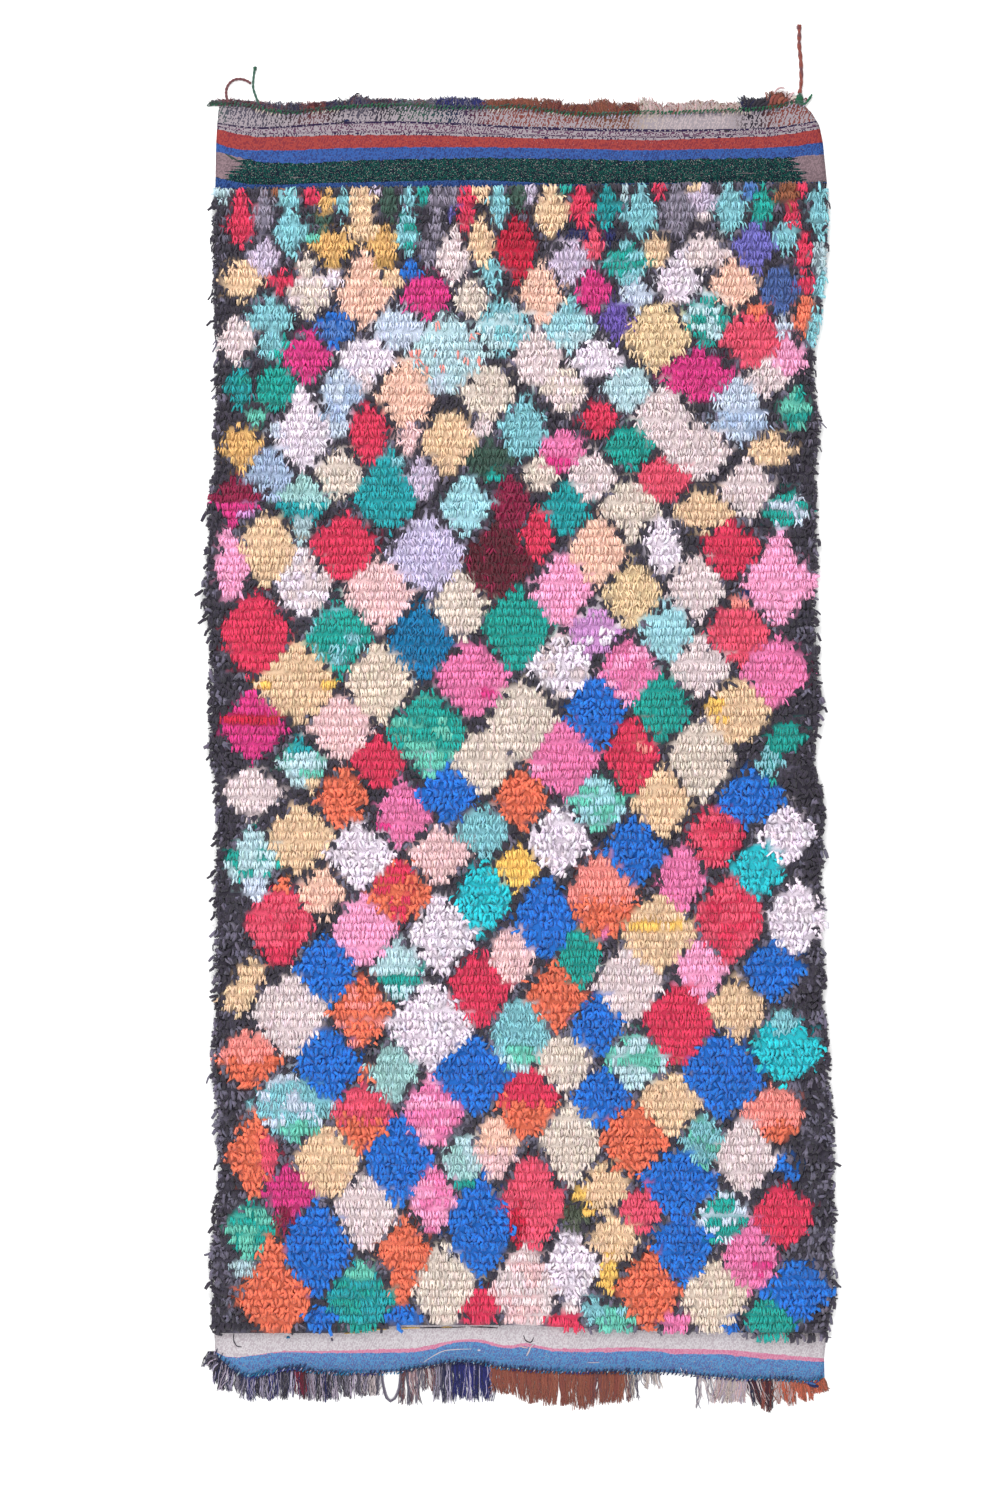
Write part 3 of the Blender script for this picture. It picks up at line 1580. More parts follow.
# Where each stripe of the weave starts, head to foot, across and down in the picture, and the stripe
WEAVE_LINES = (
    ("", Band(TWILL, TWILL, 0.56, 0.0, True)),
    ("216 107 247 109.5 265 113.5 290 115.5 304 115 320 113 348 110.5 390 109 438 110.5 483 111 509 110 "
     "530 111.5 558 115 586 118 600 117.5 630 116.5 676 116.2 740 113 792 107 822 106",
     Band(TWILL, TWILL, 0.50, 0.0, True)),
    ("216 112 265 117 300 118.5 348 115.5 480 115 560 119.5 600 121.5 676 120 740 117 792 113 822 112",
     Band(TWILL, TWILL, 0.40, 0.0, True)),
    ("216 121.5 240 125 260 126.5 300 124 340 121 400 120 480 123 520 125.5 560 126.5 600 127.5 660 "
     "128.5 740 128 780 126 822 119",
     Band(NAVY, TWILL, 0.34)),
    ("216 123 240 127 260 128.5 300 126 340 123 400 122 480 125 520 128 560 129.5 600 130.5 660 131 "
     "740 130 780 128 822 120.5",
     Band(TWILL, (0.46, 0.30, 0.42), 0.42)),
    ("216 124.3 240 130 260 132.4 300 131.6 340 130.4 420 130.6 480 132.1 540 134 600 135 660 135.6 "
     "730 133.1 772 131.6 795 128.6 822 123.8",
     Band((0.34, 0.20, 0.34), TWILL, 0.42)),
    ("216 125.7 240 131.5 260 133.8 300 133 340 131.8 420 132 480 133.5 540 135.3 600 136.3 660 137 "
     "730 134.5 772 133 795 130 822 125.2",
     Band(TWILL, NAVY, 0.36)),
    ("216 127.7 240 133.5 260 135.8 300 135 340 133.8 420 134 480 135.5 540 137.3 600 138.3 660 139 "
     "730 136.5 772 135 795 132 822 127.2",
     Band((0.75, 0.31, 0.29), (0.62, 0.24, 0.28), 0.40, 0.02)),
    ("216 141.8 227 146 243 149.3 300 149 340 147 400 146 480 146 560 147.5 640 149.3 700 148.3 765 "
     "147 795 145 822 141.4",
     Band((0.26, 0.43, 0.75), (0.23, 0.31, 0.58), 0.42, 0.05)),
    ("216 151 243 157 265 161 305 162 340 159.5 400 158 480 156.5 560 157.3 640 159 700 157.5 760 "
     "156.3 795 156 826 153",
     Band((0.02, 0.32, 0.29), (0.04, 0.13, 0.19), 0.50, 0.24)),
    ("216 176.4 230 180 251 184 280 184 305 182.7 400 180.5 480 179 530 181.5 560 184 640 182.5 826 181.5",
     Band((0.24, 0.39, 0.67), (0.15, 0.25, 0.48), 0.42, 0.05)),
    ("216 188 300 187.5 400 186 500 185.5 560 185 640 183 760 182 826 182", Band(DARK, DARK, 0.0)),
    ("216 200 826 200", Band(DARK, DARK, 0.0)),
    ("214 1318 830 1318", Band(DARK, TWILL, 0.2)),
    ("214 1330 340 1330 400 1321 520 1321 600 1325 700 1329 830 1329",
     Band(PALE, (0.91, 0.86, 0.89), 0.45, 0.04)),
    ("214 1351.4 219 1354.3 226 1357.4 238 1358 260 1355 272 1352.9 293 1351.6 327 1351.6 352 1351 381 1350 "
     "415 1349 436 1344.7 450 1341.6 466 1339.8 483 1340.2 491 1343 502 1345.9 514 1345.9 524 1343.4 "
     "535 1345.6 542 1346.9 552 1349.1 577 1349.7 605 1348.7 635 1347.9 660 1349.3 695 1349.7 "
     "724 1350.4 745 1351.8 766 1353.9 794 1356.7 822 1358.9",
     Band((1.0, 0.68, 0.80), (0.97, 0.58, 0.73), 0.42)),
    ("214 1351.6 219 1354.5 226 1357.6 238 1358.1 260 1355.1 272 1353.2 293 1352.9 327 1353.4 381 1353.4 "
     "415 1352.8 436 1349 450 1343.8 466 1342.2 483 1343.1 491 1345.9 502 1348.4 514 1348.7 524 1346.6 "
     "535 1348.3 542 1349.7 552 1351.8 577 1352.5 605 1352.5 635 1351.8 660 1351.9 668 1353.6 672 1354.9 "
     "695 1354.6 724 1354.9 745 1357.4 766 1359.6 794 1360.5 822 1362.4",
     Band((0.42, 0.68, 0.92), (0.43, 0.52, 0.79), 0.42, 0.24)),
)
# Numbers on the stripe map: the green stripe, the row above the pile, and the rows kept under it
GREEN = 9.0
UNDER_PILE = 12
UNDER_PILE_ROWS = 60
UNDER_FIRST, UNDER_LAST = 11.5, 13.5


@dataclass
class GroundWeave:
    """The flat woven cloth under the pile, with its striped ends."""

    columns: int = 110
    guess_left: float = 215.0
    guess_wide: float = 612.0
    edge_tuck: float = 1.7
    left_wedge: tuple[float, float] = (242.0, 226.0)
    right_wedge: tuple[float, float] = (794.0, 805.0)
    wave: float = 0.0004
    rim_tuck: float = 4.0

    def rows(self) -> tuple[Array, Array, Array]:
        """Lays out the cloth's grid, row by row from the head to the foot.

        Returns:
            Each row's number on the stripe map, and its places across and down in the picture.
        """
        share = np.linspace(0, 1, self.columns + 1)
        guess = self.guess_left + share * self.guess_wide
        lines = [HEAD] + [HandLine.read(text) for text, _ in WEAVE_LINES[1:]] + [FOOT]
        offsets = [self.edge_tuck] + [0.0] * (len(lines) - 2) + [-self.edge_tuck]
        levels, across, down = [], [], []
        for number, (line, offset) in enumerate(zip(lines, offsets)):
            y = line.at(guess) + offset
            left, right = self.sides(number, y[0], y[-1])
            x = left + (right - left) * share
            across.append(x)
            down.append(line.at(x) + offset)
            levels.append(float(number))
            if number == UNDER_PILE:
                start = down[-1]
                end = HandLine.read(WEAVE_LINES[number + 1][0]).at(guess)
                for part in np.linspace(0, 1, UNDER_PILE_ROWS + 1)[1:-1]:
                    y = start + (end - start) * part
                    left, right = self.sides(number + part, y[0], y[-1])
                    across.append(left + (right - left) * share)
                    down.append(y)
                    levels.append(number + part)
        return np.array(levels), np.array(across), np.array(down)

    def sides(self, level: float, left_down: float, right_down: float) -> tuple[float, float]:
        """Where a row starts and ends: the open ends show, and the rest stays under the pile.

        Args:
            level: The row's number on the stripe map.
            left_down: How far down the picture its left end lies.
            right_down: How far down its right end lies.

        Returns:
            The places of the left and the right end across the picture.
        """
        left = Plan.MIDDLE[0] + float(SIDE_LEFT.at(Plan.along(left_down))) / Plan.STEP
        right = Plan.MIDDLE[0] + float(SIDE_RIGHT.at(Plan.along(right_down))) / Plan.STEP
        if UNDER_FIRST < level < UNDER_LAST:
            left = max(left, float(RIM_LEFT.at(left_down)) + self.rim_tuck)
            right = min(right, float(RIM_RIGHT.at(right_down)) - self.rim_tuck)
        return left, right

    def build(self, finish: bpy.types.Material) -> bpy.types.Object:
        """Weaves the cloth.

        Args:
            finish: The cloth's material.

        Returns:
            The cloth, not yet declared.
        """
        level, across, down = self.rows()
        bm = bmesh.new()
        bmesh.ops.create_grid(bm, x_segments=self.columns, y_segments=len(level) - 1, size=0.5)
        top = bmesh.ops.extrude_face_region(bm, geom=bm.faces[:], use_keep_orig=True)
        raised = [vert for vert in top["geom"] if isinstance(vert, bmesh.types.BMVert)]
        bmesh.ops.translate(bm, vec=(0, 0, WEAVE_THICK), verts=raised)
        bmesh.ops.recalc_face_normals(bm, faces=bm.faces)
        stain = bm.verts.layers.float.new("stain")
        warp = bm.verts.layers.float_color.new("warp")
        uv = bm.loops.layers.uv.new("stripes")
        threads = [Threads.read(HEAD_BUNCHES), Threads.read(FOOT_BUNCHES)]
        place = {}
        for vert in bm.verts:
            column = round((vert.co.x + 0.5) * self.columns)
            row = round((0.5 - vert.co.y) * (len(level) - 1))
            x, y = across[row, column], down[row, column]
            vert[stain] = self.stain_at(x, level[row])
            vert[warp] = threads[int(y > Plan.MIDDLE[1])].colour_at(x)
            place[vert] = (column / self.columns, level[row])
            ripple = math.sin(x / 15 + y / 8) * self.wave
            high = vert.co.z + (ripple if vert.co.z > 0 else 0.0)
            vert.co = (float(Plan.across(x)), float(Plan.along(y)), high)
        for face in bm.faces:
            for loop in face.loops:
                loop[uv].uv = place[loop.vert]
        cloth = shaped("ground_cloth", bm)
        cloth.data.materials.append(finish)
        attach(cloth, "root")
        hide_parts("ground_weave")
        return cloth

    def stain_at(self, x: float, level: float) -> float:
        """How far a place is in one of the two wedges at the ends of the green stripe."""
        if not GREEN - 0.5 < level < GREEN + 1.5:
            return 0.0
        low = level - GREEN
        left = self.left_wedge[0] + (self.left_wedge[1] - self.left_wedge[0]) * low
        right = self.right_wedge[0] + (self.right_wedge[1] - self.right_wedge[0]) * low
        return float(np.clip(max((left - x) / 14, (x - right) / 14) + 0.5, 0.0, 1.0))


@dataclass
class Pile:
    """The shag: rows of knotted rags over a dense bed."""

    chart: Chart
    first_row: float = 188.0
    last_row: float = 1337.0
    row_pitch: float = 8.94
    short_of_foot: float = 6.5
    foot_uneven: float = 0.7
    spill: float = 5.8
    spill_from: float = 736.0
    spill_grows: float = 16.0
    knot_pitch: float = 4.0
    rag_tone: float = 0.09
    run_tone: float = 0.07
    slim_until: float = 440.0
    slim_fade: float = 180.0
    slim_share: float = 0.7
    bands: int = 6
    root_high: float = 0.0105
    tip_drop: tuple[float, float] = (0.0030, 0.0058)
    knee_share: float = 0.42
    tip_share: float = 0.5
    bed_high: float = 0.0125
    bed_cells: tuple[int, int] = (56, 104)
    bed_left: float = 215.0
    bed_wide: float = 610.0
    bed_tuck: float = 4.0
    waver: float = 0.9
    head: HandLine = field(default_factory=lambda: HandLine.read(
        "216 188 300 187.5 400 186 500 185.5 560 184.5 640 183 760 182 826 182"))
    foot: HandLine = field(default_factory=lambda: HandLine.read(
        "205 1335 340 1335 400 1327 520 1327 600 1331 700 1334 840 1335"))

    def knots(self, dice: np.random.Generator) -> tuple[Array, Array, Array]:
        """Places every knot.

        Args:
            dice: The source of chance.

        Returns:
            The knots' places across and down in the picture, and their row numbers.
        """
        xs, ys, rows = [], [], []
        count = math.ceil((self.last_row - self.first_row) / self.row_pitch)
        for row in range(count):
            y = self.first_row + row * self.row_pitch
            left, right = float(RIM_LEFT.at(y)) + 1.5, float(RIM_RIGHT.at(y)) - 1.5
            x = np.arange(left, right, self.knot_pitch) + dice.uniform(-0.9, 0.9)
            wave = 1.1 * np.sin(x / 83 + row * 0.9) + 0.6 * np.sin(x / 29 + row * 2.3)
            lift = (self.head.at(x) - self.first_row) * math.exp(-row / 5)
            bends = np.interp(x, np.linspace(200, 840, 33), dice.normal(0, self.waver, 33))
            down = y + lift + (wave + bends) * min(1.0, row / 2) + dice.normal(0, 0.3, x.size)
            grown = np.clip((x - self.spill_from) / self.spill_grows, 0, 1)
            over = self.spill * grown + dice.normal(0, self.foot_uneven, x.size)
            keep = down < self.foot.at(x) - self.short_of_foot + over
            xs.append(x[keep])
            ys.append(down[keep])
            rows.append(np.full(int(keep.sum()), row))
        return np.concatenate(xs), np.concatenate(ys), np.concatenate(rows)

    def rags(self, dice: np.random.Generator) -> tuple[Array, Array, Array]:
        """Shapes every rag of the pile.

        Args:
            dice: The source of chance.

        Returns:
            The rags' points, their colours and their row numbers.
        """
        x, y, row = self.knots(dice)
        number = self.chart.yarn_at(x, y + 5, dice)
        lot = np.array([list(RagKind).index(yarn.kind) for yarn in ALL_YARNS])[number]
        thin = y < self.slim_until + self.slim_fade * dice.random(x.size)
        lot = np.where(thin & (dice.random(x.size) < self.slim_share), 0, lot)
        cuts = np.array([kind.value for kind in RagKind])[lot]
        each = cuts[:, 0].astype(int)
        x, y, row, number, cuts = (np.repeat(a, each, axis=0) for a in (x, y, row, number, cuts))
        count = x.size
        _, long, wide, thick, rise, splay, uneven = cuts.T
        long = long * np.clip(1 + dice.normal(0, 1, count) * uneven, 0.6, 1.35)
        wide = wide * dice.uniform(0.75, 1.25, count)
        aim = np.radians(dice.normal(0, 1, count) * splay)
        root = np.stack([Plan.across(x + dice.normal(0, 1.1, count)),
                         Plan.along(y + dice.normal(0, 1, count) * uneven * 5)], axis=1)
        way = np.stack([np.sin(aim), -np.cos(aim)], axis=1)
        knee_high = self.root_high + rise * (1 + dice.normal(0, 1, count) * uneven)
        tip_high = knee_high - dice.uniform(*self.tip_drop, count)
        knee = root + way * (long * self.knee_share)[:, None]
        turn = aim * 0.6 + dice.normal(0, 1, count) * np.radians(splay) * 0.8
        tip = knee + np.stack([np.sin(turn), -np.cos(turn)], axis=1) * (long * self.tip_share)[:, None]
        centres = np.stack([np.column_stack([root, np.full(count, self.root_high - 0.001)]),
                            np.column_stack([knee, knee_high]), np.column_stack([tip, tip_high])], axis=1)
        stencil = Stencil.stave(3, 2, turn=math.pi / 2)
        shape = np.array([0.75, 1.0, 0.85])
        points = laid(stencil, centres, wide[:, None] * 0.577 * shape, thick[:, None] * 0.6 * shape,
                      dice.normal(0, 0.45, count))
        runs = dice.normal(1, self.run_tone, (int(row.max()) + 1, 64))
        cell = (x / 17 + row * 0.37).astype(int) % 64
        tone = np.clip(dice.normal(1, self.rag_tone, count), 0.65, 1.4) * np.clip(runs[row, cell], 0.8, 1.2)
        light = YARN_LIGHT[number] * tone[:, None]
        tint = np.clip(dice.normal(1, 0.025, (count, 3)), 0.92, 1.08)
        return points, light * tint, row

    def bed(self, dice: np.random.Generator) -> bpy.types.Object:
        """Makes the dense bed that the rags stand in.

        Args:
            dice: The source of chance.

        Returns:
            The bed.
        """
        bm = bmesh.new()
        wide, long = self.bed_cells
        bmesh.ops.create_grid(bm, x_segments=wide, y_segments=long, size=0.5)
        top = bmesh.ops.extrude_face_region(bm, geom=bm.faces[:], use_keep_orig=True)
        raised = [vert for vert in top["geom"] if isinstance(vert, bmesh.types.BMVert)]
        bmesh.ops.translate(bm, vec=(0, 0, 1), verts=raised)
        bmesh.ops.recalc_face_normals(bm, faces=bm.faces)
        unit = np.array([vert.co[:] for vert in bm.verts])
        column = self.bed_left + (unit[:, 0] + 0.5) * self.bed_wide
        top_edge = self.head.at(column) + 2
        down = top_edge + (0.5 - unit[:, 1]) * (self.foot.at(column) - top_edge - 2)
        left, right = RIM_LEFT.at(down) + self.bed_tuck, RIM_RIGHT.at(down) - self.bed_tuck
        x = left + (right - left) * (unit[:, 0] + 0.5)
        lumps = 0.0012 * np.sin(x * 0.9 + down * 0.2) * np.sin(down * 0.7)
        high = np.where(unit[:, 2] > 0.5, self.bed_high + lumps, PILE_CLEAR)
        places = np.stack([Plan.across(x), Plan.along(down), high], axis=1)
        for vert, place in zip(bm.verts, places):
            vert.co = place
        bed = shaped("pile_bed", bm)
        dye(bed.data, YARN_LIGHT[self.chart.yarn_at(x, down + 4, dice)] * 0.75)
        return bed

    def build(self, dice: np.random.Generator, finish: bpy.types.Material) -> list[bpy.types.Object]:
        """Makes the bed and the rags in a few pieces.

        Args:
            dice: The source of chance.
            finish: The rags' material.

        Returns:
            The pieces, the bed first.
        """
        points, light, row = self.rags(dice)
        stencil = Stencil.stave(3, 2, turn=math.pi / 2)
        pieces = [self.bed(dice)]
        cuts = np.linspace(0, row.max() + 1, self.bands + 1)
        for number in range(self.bands):
            here = (row >= cuts[number]) & (row < cuts[number + 1])
            pieces.append(joined(f"pile_rows_{number + 1}", stencil, points[here], light[here]))
            LOG.info("%s: %d rags", pieces[-1].name, int(here.sum()))
        for piece in pieces:
            piece.data.materials.append(finish)
            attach(piece, "root")
        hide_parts("pile")
        return pieces


@dataclass
class RimRags:
    """The rags that droop over the two long sides of the pile."""

    chart: Chart
    per_side: int = 620
    first: float = 189.0
    last: float = 1333.0
    limits: tuple[float, float] = (186.0, 1338.0)
    root_in: float = 7.0
    root_high: float = 0.0065
    arch: tuple[float, float] = (0.011, 0.018)

    def build(self, dice: np.random.Generator, finish: bpy.types.Material) -> bpy.types.Object:
        """Lays the rags of both sides as one piece.

        Args:
            dice: The source of chance.
            finish: The rags' material.

        Returns:
            The piece.
        """
        even = np.tile(np.linspace(self.first, self.last, self.per_side), 2)
        down = even + dice.normal(0, 1.2, even.size)
        side = np.repeat([-1.0, 1.0], self.per_side)
        rim = np.where(side < 0, RIM_LEFT.at(down), RIM_RIGHT.at(down))
        inner = rim - side * (self.root_in + dice.normal(0, 1.0, down.size))
        outer = rim + side * np.clip(dice.normal(-0.6, 1.5, down.size), -4, 2.2)
        number = self.chart.yarn_at(rim - side * 6, down + 2, dice)
        slip = np.abs(dice.normal(0.6, 2.2, down.size)) * np.sign(dice.random(down.size) - 0.25)
        root = np.stack([Plan.across(inner), Plan.along(down)], axis=1)
        tip = np.stack([Plan.across(outer), Plan.along(np.clip(down + slip, *self.limits))], axis=1)
        top = dice.uniform(*self.arch, down.size)
        middle = (root + tip) / 2
        centres = np.stack([np.column_stack([root, np.full(down.size, self.root_high)]),
                            np.column_stack([middle, top]),
                            np.column_stack([tip, dice.uniform(0.003, 0.009, down.size)])], axis=1)
        wide = dice.uniform(0.0026, 0.0042, down.size)[:, None] * np.array([0.7, 1.0, 0.7])
        stencil = Stencil.stave(4, 2)
        points = laid(stencil, centres, wide, wide * 0.45, dice.normal(0, 0.4, down.size))
        light = YARN_LIGHT[number] * np.clip(dice.normal(1, 0.1, down.size), 0.7, 1.3)[:, None]
        rags = joined("rim_rags", stencil, points, light)
        rags.data.materials.append(finish)
        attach(rags, "root")
        return rags


class Course(NamedTuple):
    """A row of stitches: its place and pitch in pixels, its stitches' size, slant, yarns and start."""

    inward: float
    pitch: float
    long: float
    thick: float
    slant: float
    yarns: tuple[str, ...]
    start: float = 0.0


# The twined courses: pixels inward, pitch, length, thickness, slant, yarns and where they start
HEAD_COURSES = (
    Course(-0.8, 3.5, 0.0060, 0.0019, 36.0, ("leaf", "moss", "leaf", "forest")),
    Course(1.3, 4.2, 0.0064, 0.0017, 44.0, ("leaf", "moss", "leaf")),
    Course(3.2, 4.2, 0.0084, 0.0013, 62.0, ("shell", "cream", "lilac", "grey"), 221.0),
)
FOOT_COURSES = (
    Course(2.4, 4.4, 0.0098, 0.0015, 64.0, ("navy", "navy", "petrol")),
    Course(1.4, 9.0, 0.0050, 0.0011, 60.0, ("frost", "lavender")),
    Course(0.3, 3.8, 0.0060, 0.0015, 54.0, ("navy", "indigo", "petrol")),
)


@dataclass
class TwinedEdge:
    """A twined line of slanting stitches along one end of the weave."""

    name: str
    node: str
    slot: str
    line: HandLine
    inward: float
    courses: tuple[Course, ...]
    run: int = 7
    reach_until: float = 0.0
    reach: float = 1.7
    far_in: float = 1.4
    end_gap: float = 1.5
    high: tuple[float, float, float] = (0.0046, 0.0060, 0.0046)

    def build(self, dice: np.random.Generator, finish: bpy.types.Material) -> bpy.types.Object:
        """Sews every course of stitches as one piece.

        Args:
            dice: The source of chance.
            finish: The stitches' material.

        Returns:
            The piece.
        """
        stencil = Stencil.stave(6, 2)
        points, dyes = [], []
        for number, course in enumerate(self.courses):
            first = max(self.line.places[0] + self.end_gap, course.start) + number * course.pitch / 2
            x = np.arange(first, self.line.places[-1] - self.end_gap, course.pitch)
            x = x + dice.normal(0, 0.12, x.size) * course.pitch
            far = x < self.reach_until
            inset = self.inward * (course.inward + self.far_in * far)
            y = self.line.at(x) + inset + dice.normal(0, 0.35, x.size)
            lean = np.radians(course.slant) + dice.normal(0, 0.22, x.size)
            half = course.long / 2 * dice.uniform(0.75, 1.25, x.size) * np.where(far, self.reach, 1.0)
            way = np.stack([np.cos(lean), np.sin(lean)], axis=1) * half[:, None]
            middle = np.stack([Plan.across(x), Plan.along(y)], axis=1)
            flat = middle[:, None] + way[:, None] * np.array([-1.0, 0.0, 1.0])[None, :, None]
            high = np.broadcast_to(np.array(self.high), (x.size, 3))
            centres = np.concatenate([flat, high[..., None]], axis=2)
            radius = course.thick * np.array([0.6, 1.0, 0.6]) * dice.uniform(0.75, 1.25, (x.size, 1))
            points.append(laid(stencil, centres, radius, radius * 0.9, np.zeros(x.size)))
            palette = yarn_light(*course.yarns)
            pick = dice.integers(0, len(palette), x.size // self.run + 1).repeat(self.run)[:x.size]
            dyes.append(palette[pick] * np.clip(dice.normal(1, 0.14, x.size), 0.7, 1.3)[:, None])
        edge = joined(self.name, stencil, np.concatenate(points), np.concatenate(dyes))
        edge.data.materials.append(finish)
        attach(edge, "root")
        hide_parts(self.node)
        LOG.info("%s: %d stitches", self.name, sum(len(p) for p in points))
        return edge


@dataclass
class EndFringe:
    """Cut warp ends that stick out past an edge and lie on the floor."""

    name: str
    line: HandLine
    bunches: str
    slot: str
    outward: float
    radius: float = 0.0010
    rings: int = 7
    sides: int = 3
    clump: float = 5.0
    closer: float = 0.38
    wild: float = 1.0
    crimp: float = 0.0014
    uneven: float = 0.16
    bend: float = 0.0022
    clump_lean: float = 2.0
    own_lean: float = 1.3
    gather: float = 0.18
    root_high: tuple[float, float] = (0.0018, 0.0032)
    tip_high: tuple[float, float] = (0.0010, 0.0034)

    def build(self, dice: np.random.Generator, finish: bpy.types.Material) -> bpy.types.Object:
        """Lays every strand, as one piece.

        Args:
            dice: The source of chance.
            finish: The strands' material.

        Returns:
            The piece.
        """
        roots, tips, dyes, broad = [], [], [], []
        for bunch in read_bunches(self.bunches):
            x = np.arange(bunch.start, bunch.end, bunch.each * self.closer)
            x = x + dice.normal(0, 0.5, x.size)
            y = self.line.at(x)
            clump = np.floor(x / self.clump + dice.normal(0, 0.15, x.size)).astype(int)
            lots = dice.normal(0, 1, (int(clump.max()) + 1, 2))
            stray = dice.normal(0, self.own_lean, x.size) * self.wild
            lean = bunch.lean + lots[clump, 0] * self.clump_lean + stray
            pull = ((clump + 0.5) * self.clump - x) * self.gather
            loss = np.abs(dice.normal(0, self.uneven, x.size)) + 0.06 * lots[clump, 1]
            short = 1.03 - np.clip(loss, -0.06, 0.7)
            reach = (bunch.reach - y) * short
            roots.append(np.stack([x, y - 1.5 * self.outward], axis=1))
            tips.append(np.stack([x + pull + lean, y + reach], axis=1))
            palette = yarn_light(*bunch.yarns)
            own = dice.integers(0, len(palette), x.size)
            pick = np.where(dice.random(x.size) < 0.6, own, clump * 7 % len(palette))
            dyes.append(palette[pick] * np.clip(dice.normal(1, 0.14, x.size), 0.6, 1.4)[:, None])
            broad.append(np.full(x.size, self.radius) * dice.uniform(0.8, 1.25, x.size))
        root, tip, broad = np.concatenate(roots), np.concatenate(tips), np.concatenate(broad)
        flat_root = np.stack([Plan.across(root[:, 0]), Plan.along(root[:, 1])], axis=1)
        flat_tip = np.stack([Plan.across(tip[:, 0]), Plan.along(tip[:, 1])], axis=1)
        count = len(root)
        high = np.stack([dice.uniform(*self.root_high, count), dice.uniform(*self.tip_high, count)], axis=1)
        crimp = np.stack([dice.normal(0, self.crimp, count), dice.uniform(0, 6.3, count)], axis=1)
        bend = dice.normal(0, self.bend, count) * self.wild
        lines = strands(flat_root, flat_tip, bend, high, self.rings, crimp)
        taper = np.linspace(1.05, 0.7, self.rings)
        wide = broad[:, None] * taper
        stencil = Stencil.stave(self.sides, self.rings - 1)
        points = laid(stencil, lines, wide, wide, dice.uniform(0, 1, count))
        fringe = joined(self.name, stencil, points, np.concatenate(dyes))
        fringe.data.materials.append(finish)
        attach(fringe, "root")
        LOG.info("%s: %d strands", self.name, count)
        return fringe


# Loose threads: thickness in pixels, yarn, height in millimetres, then the picture's places along each
LOOSE_THREADS = """
2.8 slate 2.5 381,1371 382.5,1385 386,1398 390,1402 395,1399 399,1388 400,1372
1.6 grey 3.5 382,1371 384,1386 388,1400 392,1401 397,1393 400,1380 399.5,1372
1.2 charcoal 3.5 233.5,1334 233.4,1341 236.5,1346.5 241.3,1347.6
2.6 petrol 2.8 286.3,1339 288,1337.6 289.6,1338.8
2.4 slate 2.8 331,1338.6 332,1340.4 331.8,1342
1.5 yellow 3.2 344,1334.2 351,1333.4 358,1333 364,1331.8
1.5 yellow 3.2 370,1331 378,1330 387,1329.8
1.4 charcoal 3.0 362,1332.2 367,1331 372,1330.6
1.5 yellow 3.2 396,1329.4 404,1328.8 412,1328.4 420,1328.6
1.4 charcoal 3.0 418,1328.6 436,1328.2 452,1328 466,1327.6
1.5 yellow 3.2 440,1328.2 447,1327.6 453,1328
1.4 charcoal 3.0 470,1327.6 484,1327.8 498,1328.6
1.0 shell 2.6 423.5,1363 431,1358 443,1351.8 457,1350.1 471.4,1349.7
2.0 milk 2.8 477.6,1351 479,1350.8 480.4,1351.2
1.9 milk 3.6 526.4,1356.7 529,1352 530.6,1348 534.4,1344.6
1.4 blush 3.6 519,1346 523,1347.8 528,1348.6
1.2 charcoal 3.4 523.5,1336 526,1341.4 531,1342.8 534,1338
0.9 shell 2.6 586,1362.6 592,1363.4 600,1363.2
1.0 milk 3.4 680.6,1368.4 682.4,1372 685,1376.6
1.0 milk 3.2 686.2,1369.4 687,1373 687.8,1377
3.6 navy 4.4 808,1384.2 813,1386.4 819,1387
2.6 blue 4.8 806,1383 811,1383.6 816,1385
1.3 charcoal 3.4 335.6,123 341,121.6 347.5,119.8
2.6 navy 3.2 344,120.8 347,119.6 349,120.4
1.2 charcoal 3.0 347.5,122.8 349.6,125 352.4,127.6
2.2 charcoal 2.8 290,118.6 291,119.8
2.4 charcoal 2.8 262.6,133.6 265,133.9
1.6 charcoal 3.8 354.2,98 354.6,95.6 356.2,93.2 359.6,92.3
2.0 charcoal 2.8 724,130.8 727,130 729.6,131
1.6 forest 3.0 225,153 231,156.4 238,160.2
2.0 forest 3.0 229,155.4 232.5,158.6
2.2 charcoal 4.6 745.4,105 745,99 744.6,94.4
2.6 charcoal 4.8 748.4,105.4 749,100 748,97
2.6 charcoal 4.2 753,105 756,101 758.6,97.4
3.0 charcoal 4.8 757,105.4 761,101 765,98.6 765,96.4
2.6 charcoal 4.2 761,105 766,103 769.6,99 770.6,93.4
3.6 brick 4.8 771,103.6 772,98 776,94.4
4.4 brick 5.2 774.6,104 776.4,98.4 780.4,94.4
4.6 rust 4.8 779,103.6 780.4,99 784.6,97
3.6 brick 4.4 783.4,103 785.6,100 788.6,98.6
2.2 blush 6.4 774.4,93.4 776.8,89.2 780.8,87.2 785.2,87.8
2.0 shell 6.0 783,91 785.6,93.6 786,96.6
2.8 blush 5.0 789.6,97.4 791.6,93.8 794.6,92
3.2 cream 4.8 791,99 794.8,96.4 797,97.6
2.8 moss 4.6 797,101.6 803,103.4 807.6,102
3.0 leaf 4.6 806.4,102.2 809.4,98.4 812.4,93.6
1.6 mauve 4.4 804,99 806.6,97.4 806.4,101
3.2 slate 4.0 217,1359 211,1356.4 204.6,1360
3.2 charcoal 4.4 217.6,1361 210.4,1360.6 206,1364.6
3.0 slate 4.0 218,1363 212.6,1366.4 209,1370.4
2.6 charcoal 3.6 219,1366 214.4,1371 213.4,1376.6
2.0 lilac 4.8 216,1359.4 210,1361.6 206.6,1366.4
1.8 lavender 4.8 218,1364 214,1367.4 212,1372
"""


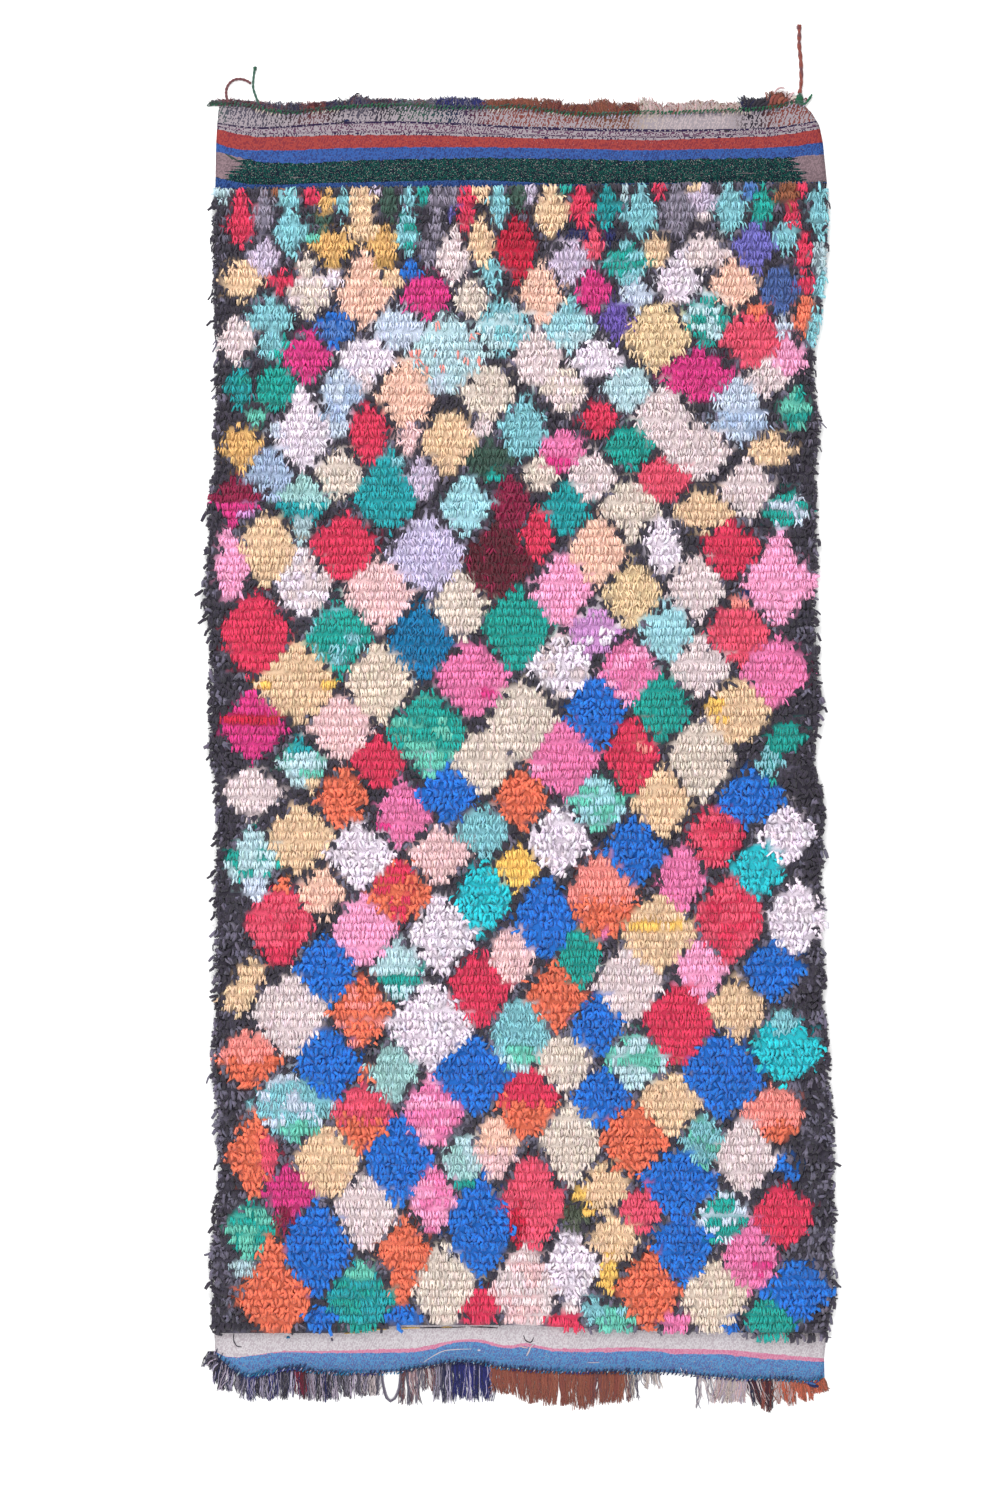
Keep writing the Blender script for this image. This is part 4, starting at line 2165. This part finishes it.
@dataclass
class LooseThreads:
    """The odd threads, knots and clumps that lie on the ends of the cloth."""

    rings: int = 13
    sides: int = 6
    flat_limit: float = 0.0022

    def build(self, dice: np.random.Generator, finish: bpy.types.Material) -> bpy.types.Object:
        """Lays every thread of the table, as one piece.

        Args:
            dice: The source of chance.
            finish: The threads' material.

        Returns:
            The piece.
        """
        lines, wide, dyes = [], [], []
        share = np.linspace(0, 1, self.rings)
        for text in LOOSE_THREADS.strip().splitlines():
            thick, name, high, *places = text.split()
            spots = np.array([[float(v) for v in place.split(",")] for place in places])
            route = np.stack([Plan.across(spots[:, 0]), Plan.along(spots[:, 1])], axis=1)
            fine = smooth_route(tuple(map(tuple, route)), float(high) / 1000, 0.001)
            steps = np.linspace(0, len(fine) - 1, self.rings)
            marks = np.arange(len(fine))
            lines.append(np.stack([np.interp(steps, marks, fine[:, k]) for k in range(3)], axis=1))
            bulge = 1 + 0.14 * np.sin(share * 19 + dice.uniform(0, 6))
            swell = np.sqrt(np.sin(np.pi * (0.08 + 0.84 * share)))
            wide.append(float(thick) * Plan.STEP / 2 * bulge * swell)
            dyes.append(yarn_light(name)[0] * dice.uniform(0.85, 1.15))
        lines, wide = np.array(lines), np.array(wide)
        stencil = Stencil.stave(self.sides, self.rings - 1)
        points = laid(stencil, lines, wide, np.minimum(wide, self.flat_limit), np.zeros(len(lines)))
        threads = joined("loose_threads", stencil, points, np.array(dyes))
        threads.data.materials.append(finish)
        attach(threads, "root")
        return threads


def cords(dice: np.random.Generator, finish: bpy.types.Material) -> None:
    """Builds the three cords of the tied end.

    Args:
        dice: The source of chance.
        finish: The cords' material.
    """
    PliedCord("loop_yarn_cord", "loop_cord", "loop_yarn", LOOP_ROUTE, LOOP_THICK,
              ("mauve",), "object", 0.016).build(dice, finish)
    PliedCord("green_yarn_cord", "green_cord", "green_yarn", STRAND_ROUTE, STRAND_THICK,
              ("moss",), "bare", 0.020).build(dice, finish)
    PliedCord("tie_yarn_cord", "twisted_tie", "tie_yarn", TIE_ROUTE, TIE_THICK,
              ("brick", "mauve", "brick"), "bare", 0.040, waist=(0.12, 0.05)).build(dice, finish)


def main() -> None:
    """Builds the studio and every piece of the rug."""
    logging.basicConfig(level=logging.INFO, format="%(message)s")
    dice = np.random.default_rng(SEED)
    Studio().build()
    rag = YarnFinish("rag", grain=520.0, depth=0.75, bump=0.0008, stretch=(1.0, 0.4, 0.6)).material()
    yarn = YarnFinish("twisted_yarn", grain=900.0, depth=0.7, bump=0.0005).material()
    cords(dice, yarn)
    FrayedTips().build(dice, yarn)
    TieKnot().build(dice, yarn)
    chart = Chart.read(CHART)
    LOG.info("chart: %d lozenges", len(chart.lozenges))
    weave = WeaveFinish(tuple(band for _, band in WEAVE_LINES), stain=(0.68, 0.57, 0.60))
    cloth = GroundWeave().build(weave.material())
    pile = Pile(chart).build(dice, rag)
    rim = RimRags(chart).build(dice, rag)
    head = TwinedEdge("head_twining", "head_band", "head_yarn", HEAD, 1.0, HEAD_COURSES)
    foot = TwinedEdge("foot_twining", "foot_band", "foot_yarn", FOOT, -1.0, FOOT_COURSES, reach_until=305.0)
    ends = [head.build(dice, yarn), foot.build(dice, yarn),
            EndFringe("head_fray", HEAD, HEAD_BUNCHES, "head_yarn", -1.0, clump=2.2, wild=2.6,
                      radius=0.0012, rings=5, uneven=0.28).build(dice, yarn),
            EndFringe("foot_fringe", FOOT, FOOT_BUNCHES, "foot_yarn", 1.0, radius=0.0012,
                      rings=8, crimp=0.0017).build(dice, yarn),
            LooseThreads().build(dice, yarn)]
    for piece in [cloth, *pile, rim, *ends]:
        LOG.info("%s: %d faces", piece.name, len(piece.data.polygons))


if __name__ == "__main__":
    main()
